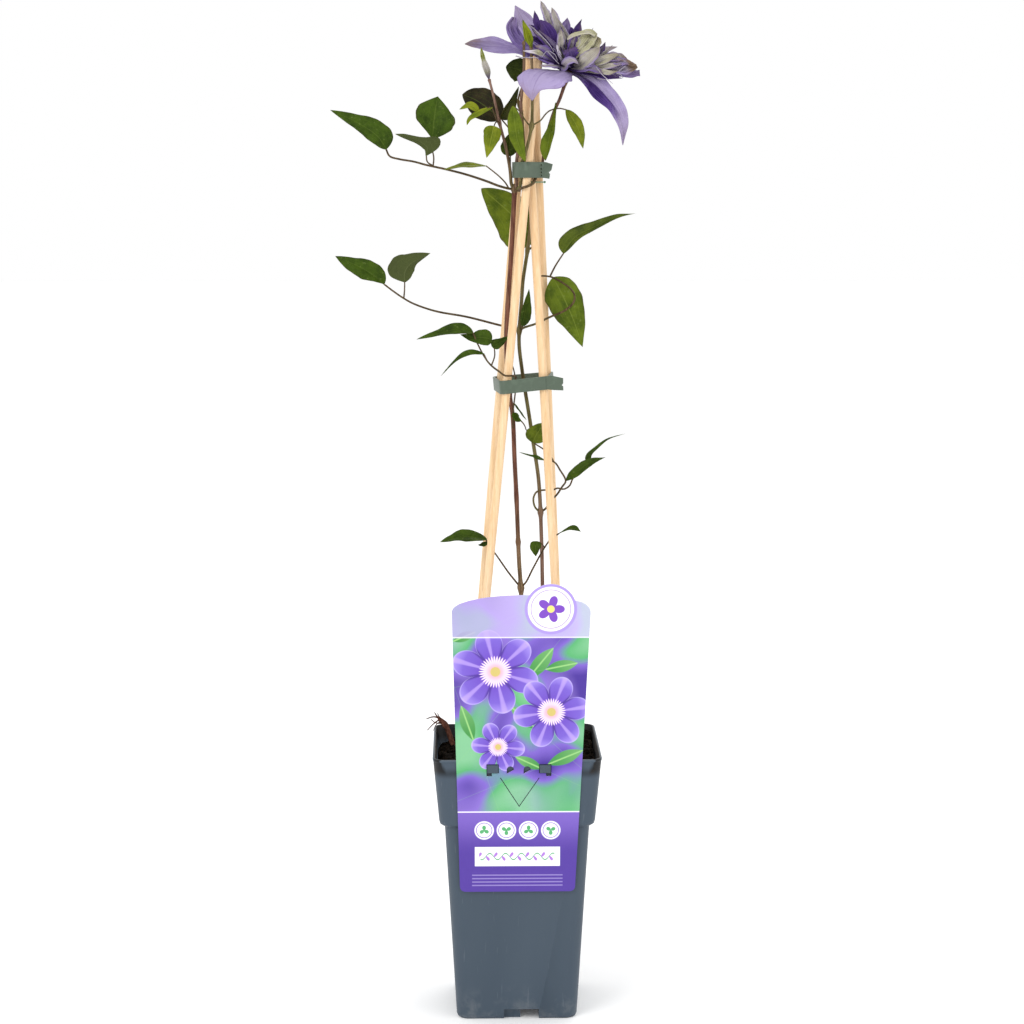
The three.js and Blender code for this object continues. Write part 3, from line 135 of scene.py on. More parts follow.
class Look:
    """A procedural material, built up node by node. Its colour is laid on in coats, one over the other."""

    def __init__(self, name):
        self.material = bpy.data.materials.new(name)
        self.material.use_nodes = True
        self.tree = self.material.node_tree
        self.shader = self.tree.nodes["Principled BSDF"]
        self.colour = None

    def add(self, kind, settings=None, sockets=None, output=0):
        """Adds one node: its settings first, then the values or links of its sockets."""
        node = self.tree.nodes.new(kind)
        for key, value in (settings or {}).items():
            setattr(node, key, value)
        for key, value in (sockets or {}).items():
            self.feed(node.inputs[key], value)
        return Value(self, node.outputs[output])

    def feed(self, socket, value):
        """Links a value to a socket, or sets the socket's own number, vector or colour."""
        if isinstance(value, Value):
            self.tree.links.new(value.socket, socket)
        elif isinstance(value, tuple) and socket.type == "RGBA":
            socket.default_value = (*value, 1)
        else:
            socket.default_value = value

    def math(self, operation, *values):
        return self.add("ShaderNodeMath", {"operation": operation}, dict(enumerate(values)))

    def mix(self, share, first, second):
        """Blends two colours by a share from 0 to 1."""
        settings = {"data_type": "RGBA", "blend_type": "MIX", "clamp_factor": True}
        return self.add("ShaderNodeMix", settings, {0: share, 6: first, 7: second}, 2)

    def coat(self, share, colour):
        """Lays a colour over the present one, by a share from 0 to 1."""
        self.colour = self.mix(share, self.colour, colour)

    def brighten(self, amount):
        """Brightens or darkens the present colour: 0.5 leaves it as it is."""
        sockets = {"Value": amount + 0.5, "Color": self.colour}
        self.colour = self.add("ShaderNodeHueSaturation", None, sockets)

    def ramp(self, value, *stops):
        """A colour read off at a value between stops, each a place and a colour."""
        node = self.add("ShaderNodeValToRGB", None, {0: value}).socket.node
        elements = node.color_ramp.elements
        while len(elements) < len(stops):
            elements.new(0.5)
        for element, (place, colour) in zip(elements, stops):
            element.position = place
            element.color = (*colour, 1)
        return Value(self, node.outputs[0])

    def parts_of(self, vector):
        """The three numbers of a vector."""
        node = self.add("ShaderNodeSeparateXYZ", None, {0: vector}).socket.node
        return [Value(self, output) for output in node.outputs]

    def vector(self, x, y, z):
        return self.add("ShaderNodeCombineXYZ", None, {0: x, 1: y, 2: z})

    def written(self, name):
        """The three numbers that the piece's own skin stores under that name."""
        return self.parts_of(self.add("ShaderNodeAttribute", {"attribute_name": name}, None, 1))

    def place(self, *scale):
        """Object coordinates in millimetres, or stretched by another scale."""
        spot = self.add("ShaderNodeTexCoord", None, None, 3)
        settings = {"operation": "MULTIPLY"}
        return self.add("ShaderNodeVectorMath", settings, {0: spot, 1: scale or (1000, 1000, 1000)})

    def noise(self, vector, scale, detail=3.0, rough=0.5):
        """Soft random clouds from 0 to 1, mostly near the middle."""
        sockets = {"Vector": vector, "Scale": scale, "Detail": detail, "Roughness": rough}
        return self.add("ShaderNodeTexNoise", None, sockets)

    def cells(self, vector, scale, feature="DISTANCE_TO_EDGE"):
        """How far a place is from the edges of random cells, or from their middles."""
        return self.add("ShaderNodeTexVoronoi", {"feature": feature}, {"Vector": vector, "Scale": scale})

    def bump(self, height, distance, strength):
        """Small relief: a height from 0 to 1 times a distance in metres."""
        node = self.add("ShaderNodeBump", None, {"Strength": strength, "Distance": distance, "Height": height})
        self.feed(self.shader.inputs["Normal"], node)

    def finish(self, roughness, gloss=0.5, **plain):
        """The present colour and the roughness may vary over the surface, and the rest are plain values."""
        self.feed(self.shader.inputs["Base Color"], self.colour)
        self.feed(self.shader.inputs["Roughness"], roughness)
        self.feed(self.shader.inputs["Specular IOR Level"], gloss)
        for key, value in plain.items():
            self.feed(self.shader.inputs[key.replace("_", " ")], value)
        return self.material


# Surfaces


def unit(vectors):
    """Each vector divided by its length."""
    return vectors / np.maximum(np.linalg.norm(vectors, axis=-1, keepdims=True), 1e-9)


# Directions to choose from where a curve needs one that it never follows.
CROSSWAYS = unit(np.array([
    (1, 0, 0), (0, 1, 0), (0, 0, 1), (1, 1, 0), (1, -1, 0), (0, 1, 1), (0, 1, -1), (1, 0, 1), (1, 0, -1),
], float))


def spline(points, shares):
    """A centripetal Catmull-Rom curve: between two points a cubic whose end slopes weigh the neighbours
    by the square roots of their distances. Gives places and directions at shares 0 to 1 of its points."""
    knots = np.array(points, float)
    ends = np.vstack([2 * knots[0] - knots[1], knots, 2 * knots[-1] - knots[-2]])
    steps = np.sqrt(np.linalg.norm(np.diff(ends, axis=0), axis=1))[:, None]
    runs = len(knots) - 1
    u = np.clip(np.asarray(shares, float), 0, 1) * runs
    i = np.minimum(u.astype(int), runs - 1)
    w = (u - i)[:, None]
    before, first, second, after = ends[i], ends[i + 1], ends[i + 2], ends[i + 3]
    a, b, c = steps[i], steps[i + 1], steps[i + 2]
    slope_in = b * ((first - before) / a - (second - before) / (a + b) + (second - first) / b)
    slope_out = b * ((second - first) / b - (after - first) / (b + c) + (after - second) / c)
    places = (2 * w**3 - 3 * w**2 + 1) * first + (w**3 - 2 * w**2 + w) * slope_in
    places = places + (-2 * w**3 + 3 * w**2) * second + (w**3 - w**2) * slope_out
    ways = (6 * w**2 - 6 * w) * (first - second)
    ways = ways + (3 * w**2 - 4 * w + 1) * slope_in + (3 * w**2 - 2 * w) * slope_out
    return places, unit(ways)


def even_shares(points, spacing):
    """Shares at which the curve through the points is cut into equal lengths, and its length."""
    fine = np.linspace(0, 1, 60 * len(points))
    places, _ = spline(points, fine)
    travelled = np.concatenate([[0], np.cumsum(np.linalg.norm(np.diff(places, axis=0), axis=1))])
    count = max(4, math.ceil(travelled[-1] / spacing))
    return np.interp(np.linspace(0, travelled[-1], count + 1), travelled, fine), travelled[-1]


def closed_rings(rings, first_pole, last_pole, **written):
    """A skin over rings of points, row by row and closed round each row, with a pole at each end.
    Anything written is stored on the same rows and columns, and the poles take their row's mean."""
    rows, columns, _ = rings.shape
    places = np.vstack([rings.reshape(-1, 3), first_pole, last_pole])
    around = np.arange(columns)
    onward = (around + 1) % columns
    row = columns * np.arange(rows - 1)[:, None]
    corners = row + around, row + onward, row + columns + onward, row + columns + around
    quads = np.stack(corners, -1).reshape(-1, 4)
    base, pole = (rows - 1) * columns, rows * columns
    first_fan = np.stack([onward, around, np.full(columns, pole)], -1)
    last_fan = np.stack([base + around, base + onward, np.full(columns, pole + 1)], -1)
    fans = np.vstack([first_fan, last_fan])
    corner, beside, _, above = np.moveaxis(places[quads], 1, 0)
    volume = np.sum((corner - places.mean(0)) * np.cross(beside - corner, above - corner))
    if volume < 0:
        quads, fans = quads[:, ::-1], fans[:, ::-1]
    stored = {
        name: np.vstack([values.reshape(-1, 3), values[0].mean(0), values[-1].mean(0)])
        for name, values in written.items()
    }
    return {"places": places, "quads": quads, "fans": fans, "written": stored}


def tone_along(tone, shares):
    """The tone at each share from 0 to 1. It is one tone, or several spread evenly and blended in between."""
    tones = np.atleast_2d(np.array(tone, float))
    marks = np.linspace(0, 1, len(tones))
    return np.stack([np.interp(shares, marks, channel) for channel in tones.T], -1)


def tube(
    points, radius, sides=12, spacing=2.0, swellings=(), ribs=0.05, tone=(0.5, 0.5, 0.5), end_radius=None,
    cap=None,
):
    """A round stem along a smooth curve. Its radius runs from radius to end_radius, has low ribs that follow
    a cosine round it, a bell-shaped swelling at each (place, amount, half length), and half-ball ends
    that are cap long."""
    marks, length = even_shares(points, spacing)
    distances = np.linspace(0, length, len(marks))
    cap = cap or radius
    near_end = np.array([0.04, 0.3, 0.65]) * cap
    near_ends = np.concatenate([near_end, length - near_end])
    shares = np.sort(np.concatenate([marks[1:-1], np.interp(near_ends, distances, marks)]))
    travelled = np.interp(shares, marks, distances)
    places, ways = spline(points, shares)
    side = CROSSWAYS[np.abs(ways @ CROSSWAYS.T).max(0).argmin()]
    across = unit(np.cross(ways, side))
    upward = np.cross(ways, across)
    thick = np.interp(travelled, [0, length], [radius, end_radius or radius])
    for spot, amount, reach in swellings:
        away = np.linalg.norm(places - np.array(spot), axis=1)
        thick = thick + amount * np.exp(-((away / reach) ** 2))
    for from_end in (travelled, length - travelled):
        short = np.clip(1 - from_end / cap, 0, 1)
        thick = thick * np.sqrt(1 - short**2)
    turn = 2 * np.pi * np.arange(sides) / sides
    girth = thick[:, None] * (1 + ribs * np.cos(6 * turn))
    outward = np.cos(turn)[:, None] * across[:, None] + np.sin(turn)[:, None] * upward[:, None]
    rings = places[:, None] + girth[..., None] * outward
    ends, _ = spline(points, [0, 1])
    grain = np.stack(np.broadcast_arrays(travelled[:, None] / 40, turn / (2 * np.pi), 0 * girth), -1)
    tones = np.broadcast_to(tone_along(tone, travelled / length)[:, None], grain.shape)
    return closed_rings(rings, ends[:1], ends[1:], grain=grain, tone=tones)


def half_widths(shape, t, peak, power):
    """Half widths of a blade at t. The shape is the height of a sine hump that is highest at peak and raised
    to a power, or several widths spread evenly from foot to tip and joined by a smooth curve."""
    if isinstance(shape, tuple):
        marks = [(width, 3.0 * i, 0.0) for i, width in enumerate(shape)]
        return np.maximum(spline(marks, t)[0][:, :1], 0.0)
    return shape * np.sin(np.pi * t[:, None] ** (math.log(0.5) / math.log(peak))) ** power


def blade(
    spine, left, right=None, face=TO_VIEWER, tip_face=None, fold=0.3, wave=0.0, waves=2.0, peak=0.36,
    power=0.95, arch=0.0, veins=0.0, thick=0.4, tone=(0.5, 0.5, 0.5), right_tone=None, size=(52, 44), seed=0,
    base_half=0.5, pleat=0.0, ragged=0.0, crumple=0.0,
):
    """A leaf or petal as one closed skin. Along its midrib t runs from 0 to 1, and across it v runs from -1
    on the left margin to 1 on the right, over the upper side and back under the lower one.
    Its left and right half widths, their peaks and their powers are those of half_widths, and a sum of sines
    makes the margin uneven. From the midrib each half rises by fold, arches by a sine, waves by v squared times
    a sine of t, is pleated by a cosine of v, and is crumpled by a sum of slanted sines.
    Veins are grooves of bell-shaped section, and the thickness follows a half circle, to nothing at the
    margin."""
    right = left if right is None else right
    draw = np.random.default_rng(seed)
    rows, around = size
    t = 0.5 - 0.5 * np.cos(np.pi * (np.arange(rows) + 1) / (rows + 1))
    mid, along = spline(spine, t)
    start, end = np.array(face, float), np.array(tip_face or face, float)
    facing = start * (1 - t[:, None]) + end * t[:, None]
    leftward = unit(np.cross(facing, along))
    normal = np.cross(along, leftward)
    turn = 2 * np.pi * (np.arange(around) + 0.5) / around
    v = np.cos(turn)[None, :]
    upper = np.sign(np.sin(turn))[None, :]
    peaks, powers = np.broadcast_to(peak, 2), np.broadcast_to(power, 2)
    left_half, right_half = (half_widths(*each) for each in zip((left, right), (t, t), peaks, powers))
    outline = np.where(v < 0, left_half / left_half.max(), right_half / right_half.max())
    t = t[:, None]

    ripple = 1
    for height, slowest, quickest, shift in ((0.025, 2, 3.5, 2), (0.012, 6, 9, 3), (ragged, 4, 7, 4)):
        cycles = draw.uniform(slowest, quickest) * t + draw.uniform(0, 1)
        ripple = ripple + height * np.sin(2 * np.pi * cycles + shift * np.sign(v))
    half = np.where(v < 0, left_half, right_half) * ripple
    half = np.maximum(half, base_half * np.minimum(1, 8 * (1 - t)))
    reach = np.abs(v) * half

    phase = np.where(v < 0, 0, 2) + draw.uniform(-0.5, 0.5)
    lift = reach * math.sin(fold) + wave * v**2 * np.sin(2 * np.pi * waves * t + phase) * np.sqrt(outline)
    lift = lift + arch * outline * np.sin(np.pi * np.abs(v))
    lift = lift + 0.35 * wave * np.sin(2 * np.pi * (1.3 * t + draw.uniform(0, 1))) * v * outline
    lift = lift + pleat * outline * np.cos(5 * np.pi * v) * np.minimum(1, 3 * t)
    for _ in range(5 if crumple else 0):
        slant = draw.uniform(-3.5, 3.5) * t + draw.uniform(0.3, 1.2) * v + draw.uniform(0, 1)
        lift = lift + 0.4 * crumple * np.sin(2 * np.pi * slant) * np.minimum(1, 4 * t) * np.sqrt(outline)
    for place in VEIN_PLACES:
        groove = np.exp(-(((np.abs(v) - place * (1 - VEINS_CLOSE * t)) * half / VEIN_HALF) ** 2))
        lift = lift - veins * groove * np.clip(outline * 2, 0, 1)
    skin = 0.5 * thick * np.sqrt(np.clip(1 - v**2, 0, 1)) * upper * np.clip(6 * (1 - t), 0.25, 1)
    aside = np.sign(v) * reach * math.cos(fold)
    rings = mid[:, None] - leftward[:, None] * aside[..., None] + normal[:, None] * (lift + skin)[..., None]

    ends, _ = spline(spine, [0, 1])
    grain = np.stack(np.broadcast_arrays(t, v, 0.5 - 0.5 * upper), -1).astype(float)
    halves = (tone_along(each, t[:, 0])[:, None] for each in (tone, tone if right_tone is None else right_tone))
    return closed_rings(rings, ends[:1], ends[1:], grain=grain, tone=np.where(grain[..., 1:2] < 0, *halves))


def stand_for(nodes, name, mesh):
    """One object that rides on the plant and is seen in place of the nodes."""
    piece = bpy.data.objects.new(name, mesh)
    scene.collection.objects.link(piece)
    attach(piece, "root")
    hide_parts(*nodes)
    return piece


def make_piece(name, nodes, parts, looks):
    """One object from skins, each with the number of its look. It stores what its first skin has written."""
    places = np.vstack([skin["places"] for skin, _ in parts]) * MM
    starts = np.cumsum([0] + [len(skin["places"]) for skin, _ in parts])
    faces, counts, slots = [], [], []
    for (skin, look), start in zip(parts, starts):
        for group in (skin["quads"], skin["fans"]):
            faces.append((group + start).ravel())
            counts.append(np.full(len(group), group.shape[1]))
            slots.append(np.full(len(group), look))
    faces, counts, slots = (np.concatenate(each).astype(np.int32) for each in (faces, counts, slots))
    mesh = bpy.data.meshes.new(name)
    mesh.vertices.add(len(places))
    mesh.vertices.foreach_set("co", places.ravel())
    mesh.loops.add(len(faces))
    mesh.loops.foreach_set("vertex_index", faces)
    mesh.polygons.add(len(counts))
    mesh.polygons.foreach_set("loop_start", (np.cumsum(counts) - counts).astype(np.int32))
    mesh.polygons.foreach_set("material_index", slots)
    mesh.polygons.foreach_set("use_smooth", np.ones(len(counts), bool))
    for key in parts[0][0]["written"]:
        values = np.vstack([skin["written"][key] for skin, _ in parts])
        mesh.attributes.new(key, "FLOAT_VECTOR", "POINT").data.foreach_set("vector", values.ravel())
    mesh.update(calc_edges=True)
    for look in looks:
        mesh.materials.append(look)
    stand_for(nodes, name, mesh)


SAME_CORNER = 2e-6  # metres
SHARP_EDGE = 0.5  # radians


def copy_node(node, name, look, bevel):
    """A CAD node's own shape with its corners merged, its edges rounded by bevel, and flat faces kept flat."""
    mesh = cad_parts[node].data.copy()
    mesh.name = name
    solid = bmesh.new()
    solid.from_mesh(mesh)
    bmesh.ops.remove_doubles(solid, verts=solid.verts, dist=SAME_CORNER)
    solid.to_mesh(mesh)
    solid.free()
    mesh.materials.clear()
    mesh.materials.append(look)
    mesh.polygons.foreach_set("material_index", np.zeros(len(mesh.polygons), np.int32))
    mesh.polygons.foreach_set("use_smooth", np.ones(len(mesh.polygons), bool))
    piece = stand_for([node], name, mesh)
    rounding = piece.modifiers.new("rounding", "BEVEL")
    rounding.width = bevel * MM
    rounding.segments = 2
    rounding.limit_method = "ANGLE"
    rounding.angle_limit = SHARP_EDGE
    rounding.harden_normals = True
    return mesh


# Finishes


def leaf_finish():
    """Green blade with paler veins, a darker margin and a grey-green lower side. Its tone holds brightness,
    how lime and how bronze it is."""
    look = Look("leaf_blade")
    t, v, lower = look.written("grain")
    bright, lime, bronze = look.written("tone")
    spot = look.place()
    mottle = look.noise(spot, 0.11, 3, 0.6)
    fine = look.noise(spot, 1.1, 4, 0.6)
    patches = mottle.rise(0.3, 0.7)
    look.colour = look.mix(patches, (0.018, 0.038, 0.002), (0.046, 0.085, 0.005))
    look.coat(lime, look.mix(patches, (0.11, 0.15, 0.006), (0.22, 0.25, 0.012)))
    look.coat(bronze, look.mix(mottle.rise(0.35, 0.65), (0.012, 0.01, 0.004), (0.032, 0.024, 0.008)))
    veins = abs(v).rise(0.045, 0.01)
    narrowing = 1 - t * VEINS_CLOSE
    for place in VEIN_PLACES[1:]:
        veins = veins.most(abs(abs(v) - narrowing * place).rise(0.03, 0.004) * 0.3)
    net = look.cells(spot, 0.42).rise(0.06, 0.01)
    pale = look.mix(lime, (0.09, 0.13, 0.02), (0.33, 0.37, 0.06))
    look.coat(veins * 0.55, pale)
    look.coat(net * 0.12, pale)
    specks = look.cells(spot, 0.75, "F1").rise(0.11, 0.05)
    look.coat(specks * fine.rise(0.45, 0.6) * 0.3, (0.2, 0.22, 0.08))
    flecks = look.noise(spot, 0.4, 2, 0.5).rise(0.64, 0.72)
    look.coat(flecks * 0.4 * (1 - bronze), (0.13, 0.17, 0.045))
    brown_spots = look.noise(spot, 0.22, 3, 0.7).rise(0.7, 0.75)
    look.coat(brown_spots * 0.5, (0.035, 0.022, 0.008))
    margin = abs(v).rise(0.9, 0.995).most(t.rise(0.96, 1.0))
    look.coat(margin * 0.55, (0.05, 0.028, 0.012))
    backs = look.mix(lime, (0.06, 0.072, 0.024), (0.16, 0.19, 0.03))
    backs = look.mix((veins * 0.5).most(net * 0.2), backs, (0.12, 0.135, 0.06))
    look.coat(lower.rise(0.4, 0.6) * (1 - bronze * 0.7) * 0.85, backs)
    look.brighten(bright)
    look.bump(0.5 * fine + net * -0.5 + mottle * 2.0, 0.00022, 0.8)
    return look.finish(0.42 + lower * 0.22 + mottle * 0.12, 0.09)


def petal_finish():
    """Lilac to violet petal with fine lengthwise streaks, and painted shade that darkens it towards its foot. Its
    tone holds how violet, how silver-green along the middle (above 1 it turns white) and how tan at the tip it
    is."""
    look = Look("petal")
    t, v, lower = look.written("grain")
    violet, silver, tan = look.written("tone")
    streaks = look.noise(look.vector(v * 8.0, t * 1.1, violet * 9.0 + silver * 5.0), 1.6, 4, 0.68)
    cloud = look.noise(look.place(), 0.09, 3, 0.55)
    depth = (violet + (streaks - 0.5) * 1.0 + (cloud - 0.5) * 0.5).most(0.0).least(1.0)
    look.colour = look.ramp(
        depth,
        (0.0, (0.36, 0.295, 0.5)),
        (0.3, (0.22, 0.165, 0.36)),
        (0.65, (0.085, 0.045, 0.2)),
        (1.0, (0.022, 0.008, 0.075)),
    )
    greyed = look.ramp(depth, (0.0, (0.38, 0.34, 0.45)), (0.5, (0.2, 0.16, 0.3)), (1.0, (0.07, 0.05, 0.13)))
    look.coat(lower.rise(0.4, 0.6) * 0.7, greyed)
    spread = (silver - 0.5).most(0.0) * 1.3
    greens = look.ramp(
        streaks * 0.6 + cloud * 0.4,
        (0.34, (0.16, 0.13, 0.11)),
        (0.44, (0.32, 0.31, 0.17)),
        (0.54, (0.47, 0.45, 0.31)),
        (0.66, (0.5, 0.46, 0.54)),
    )
    look.coat((abs(v) - spread + (streaks - 0.5) * 0.9).rise(0.75, 0.2) * silver.least(1.0), greens)
    look.coat((silver - 1.0).most(0.0), (0.62, 0.56, 0.72))
    midline = abs(v).rise(0.05, 0.01)
    look.coat(midline * 0.3, (0.16, 0.11, 0.24))
    dry = (t + (cloud - 0.5) * 0.5 + (streaks - 0.5) * 0.4 + abs(v) * 0.12).rise(0.72, 1.0) * tan
    look.coat(dry, look.mix(streaks.rise(0.4, 0.6), (0.09, 0.055, 0.035), (0.26, 0.18, 0.12)))
    margin = abs(v).rise(0.93, 1.0)
    look.coat(margin * 0.35, (0.1, 0.06, 0.2))
    # painted shade: darker towards the petal's foot, in the heart of the bloom, the more so the more violet the
    # petal
    look.coat(t.rise(0.55, 0.05) * (violet * 0.5 + 0.5).least(1.0), (0.016, 0.006, 0.045))
    look.bump(streaks, 0.0003, 0.7)
    return look.finish(0.5 + streaks * 0.15, 0.08)


def stem_finish():
    """Ribbed young stem. Its tone holds how olive, how pink and how bright it is."""
    look = Look("stem_bark")
    olive, pink, bright = look.written("tone")
    streaks = look.noise(look.place(900, 900, 60), 0.9, 3, 0.6)
    patches = look.noise(look.place(), 0.06, 2)
    share = streaks.rise(0.35, 0.65)
    look.colour = look.mix(share, (0.07, 0.024, 0.014), (0.18, 0.068, 0.038))
    olives = look.mix(share, (0.09, 0.085, 0.028), (0.2, 0.185, 0.07))
    look.coat((olive + (patches - 0.5) * 0.5).most(0.0), olives)
    look.coat(pink, look.mix(share, (0.16, 0.08, 0.07), (0.3, 0.19, 0.165)))
    look.brighten(bright)
    look.bump(streaks, 0.0002, 0.7)
    return look.finish(0.5 + streaks * 0.15, 0.1)


def wood_finish():
    """Pale bare wood with fine lengthwise grain, darker pores and a few soft stains."""
    look = Look("cane_wood")
    along = look.place(1000, 1000, 16)
    broad = look.noise(along, 0.35, 2, 0.5)
    lines = look.noise(along, 1.6, 3, 0.6)
    pores = look.noise(look.place(1000, 1000, 45), 2.6, 2).rise(0.6, 0.7)
    stain = look.noise(look.place(30, 30, 12), 1.0, 2)
    look.colour = look.ramp(
        broad * 0.55 + lines * 0.45,
        (0.3, (0.63, 0.41, 0.21)),
        (0.47, (0.75, 0.51, 0.285)),
        (0.58, (0.81, 0.59, 0.365)),
        (0.72, (0.86, 0.67, 0.45)),
    )
    look.coat(pores * 0.18, (0.5, 0.3, 0.15))
    look.coat(stain.rise(0.55, 0.75) * 0.2, (0.74, 0.49, 0.28))
    look.bump(lines + pores * -0.5, 0.00015, 0.5)
    return look.finish(0.52 + lines * 0.16, 0.25)


POT_DUST_TOP = 30.0
POT_RIM_HIGHLIGHT = (196.4, 197.8)
POT_INSIDE_SHADE = {"above": (183.0, 190.0), "within": (60.4, 59.6)}


def pot_finish():
    """Slate-grey moulded plastic: a fine spark-eroded grain, faint flow marks, a dusty foot, random scuffs, a
    painted highlight along the rim top and painted shade, flecked with compost-brown dirt, on the inside above
    the compost."""
    look = Look("pot_plastic")
    spot = look.place()
    x, y, z = look.parts_of(spot)
    grain = look.noise(spot, 2.2, 2, 0.6)
    flow = look.noise(look.place(40, 40, 6), 1.0, 3)
    dust = look.noise(spot, 0.07, 4, 0.65)
    scuffs = look.noise(look.place(500, 500, 30), 1.0, 3).rise(0.66, 0.74)
    look.colour = look.mix(flow, (0.047, 0.068, 0.094), (0.06, 0.083, 0.11))
    look.coat(z.rise(POT_DUST_TOP, 0.0) * dust.rise(0.45, 0.7) * 0.22, (0.3, 0.31, 0.31))
    look.coat(scuffs * 0.12, (0.28, 0.31, 0.35))
    # painted highlight: the rim's top edge is made lighter
    look.coat(z.rise(*POT_RIM_HIGHLIGHT) * 0.25, (0.13, 0.16, 0.19))
    # painted shade: the inside wall above the compost is made near black, flecked with compost-brown dirt
    inside = z.rise(*POT_INSIDE_SHADE["above"]) * abs(x).most(abs(y)).rise(*POT_INSIDE_SHADE["within"])
    look.coat(inside * 0.95, look.mix(dust.rise(0.5, 0.62), (0.003, 0.0035, 0.0045), (0.012, 0.008, 0.005)))
    look.bump(grain * 0.6 + flow * 2.0, 0.00012, 0.55)
    return look.finish(0.42 + grain * 0.12 + scuffs * 0.12, 0.25)


def strap_finish():
    """Grey-green moulded plastic, a little lighter where it is bent and rubbed."""
    look = Look("strap_plastic")
    spot = look.place()
    grain = look.noise(spot, 1.4, 3)
    worn = look.noise(spot, 0.16, 3).rise(0.5, 0.75)
    look.colour = look.mix(worn * 0.6, (0.068, 0.098, 0.066), (0.1, 0.14, 0.098))
    look.bump(grain, 0.00012, 0.5)
    return look.finish(0.38 + grain * 0.15)


def compost_finish():
    """Moist peat: near-black crumbs with brown fibres."""
    look = Look("compost")
    crumbs = look.noise(look.place(), 0.5, 5, 0.65)
    fibres = look.noise(look.place(1000, 260, 600), 0.8, 3).rise(0.6, 0.7)
    look.colour = look.mix(crumbs.rise(0.35, 0.7), (0.0015, 0.0012, 0.0008), (0.016, 0.01, 0.006))
    look.coat(fibres * 0.35, (0.06, 0.035, 0.02))
    look.bump(crumbs, 0.0012, 0.9)
    return look.finish(0.82 + crumbs * 0.15, 0.04)


def root_finish():
    """Dead woody root: dark brown with frayed paler fibres."""
    look = Look("dead_root")
    fibres = look.noise(look.place(1000, 1000, 300), 0.7, 4, 0.65)
    browns = (0.3, (0.03, 0.012, 0.007)), (0.55, (0.1, 0.036, 0.022)), (0.75, (0.2, 0.1, 0.06))
    look.colour = look.ramp(fibres, *browns)
    look.bump(fibres, 0.0006, 0.9)
    return look.finish(0.85, 0.15)


def wire_finish():
    """Green plastic skin of a garden wire."""
    look = Look("coated_wire")
    grain = look.noise(look.place(), 1.2, 2)
    look.colour = look.mix(grain, (0.03, 0.12, 0.045), (0.05, 0.2, 0.08))
    return look.finish(0.35 + grain * 0.1)


# The label's printed design: in the card's own measures, across from its middle and up from its foot

BLOSSOMS = (  # across, up, radius, petals, turn
    (-16, 78, 31, 6, 0.3),
    (24, 48, 27, 6, 0.9),
    (-14, 22, 19, 6, 0.1),
)
SPRIG_LEAVES = (  # across, up, half length, half width, turn
    (16, 84, 15, 5.5, 0.9),
    (31, 82, 12, 4.5, 0.2),
    (-36, 40, 14, 5, 1.9),
    (4, 44, 13, 4.5, 2.4),
    (34, 14, 14, 5, 0.4),
    (8, 10, 11, 4, 2.7),
    (-38, 104, 9, 3.5, 0.4),
)
BADGE = (23.2, 124)
TOP_BAND = 103.3
FOOT_BAND = -27
DOT_ROW = -41
DOTS = (-24, -8, 8, 24)
SCROLL_ROW = -61
SCROLL_WAVE = 0.55
BEAD_STEP = 5.712
LINE_ROW = -79
PAPER = (0.85, 0.82, 0.95)
VIOLET_INK = (0.42, 0.3, 0.75)
LEAF_INK = (0.1, 0.4, 0.16)


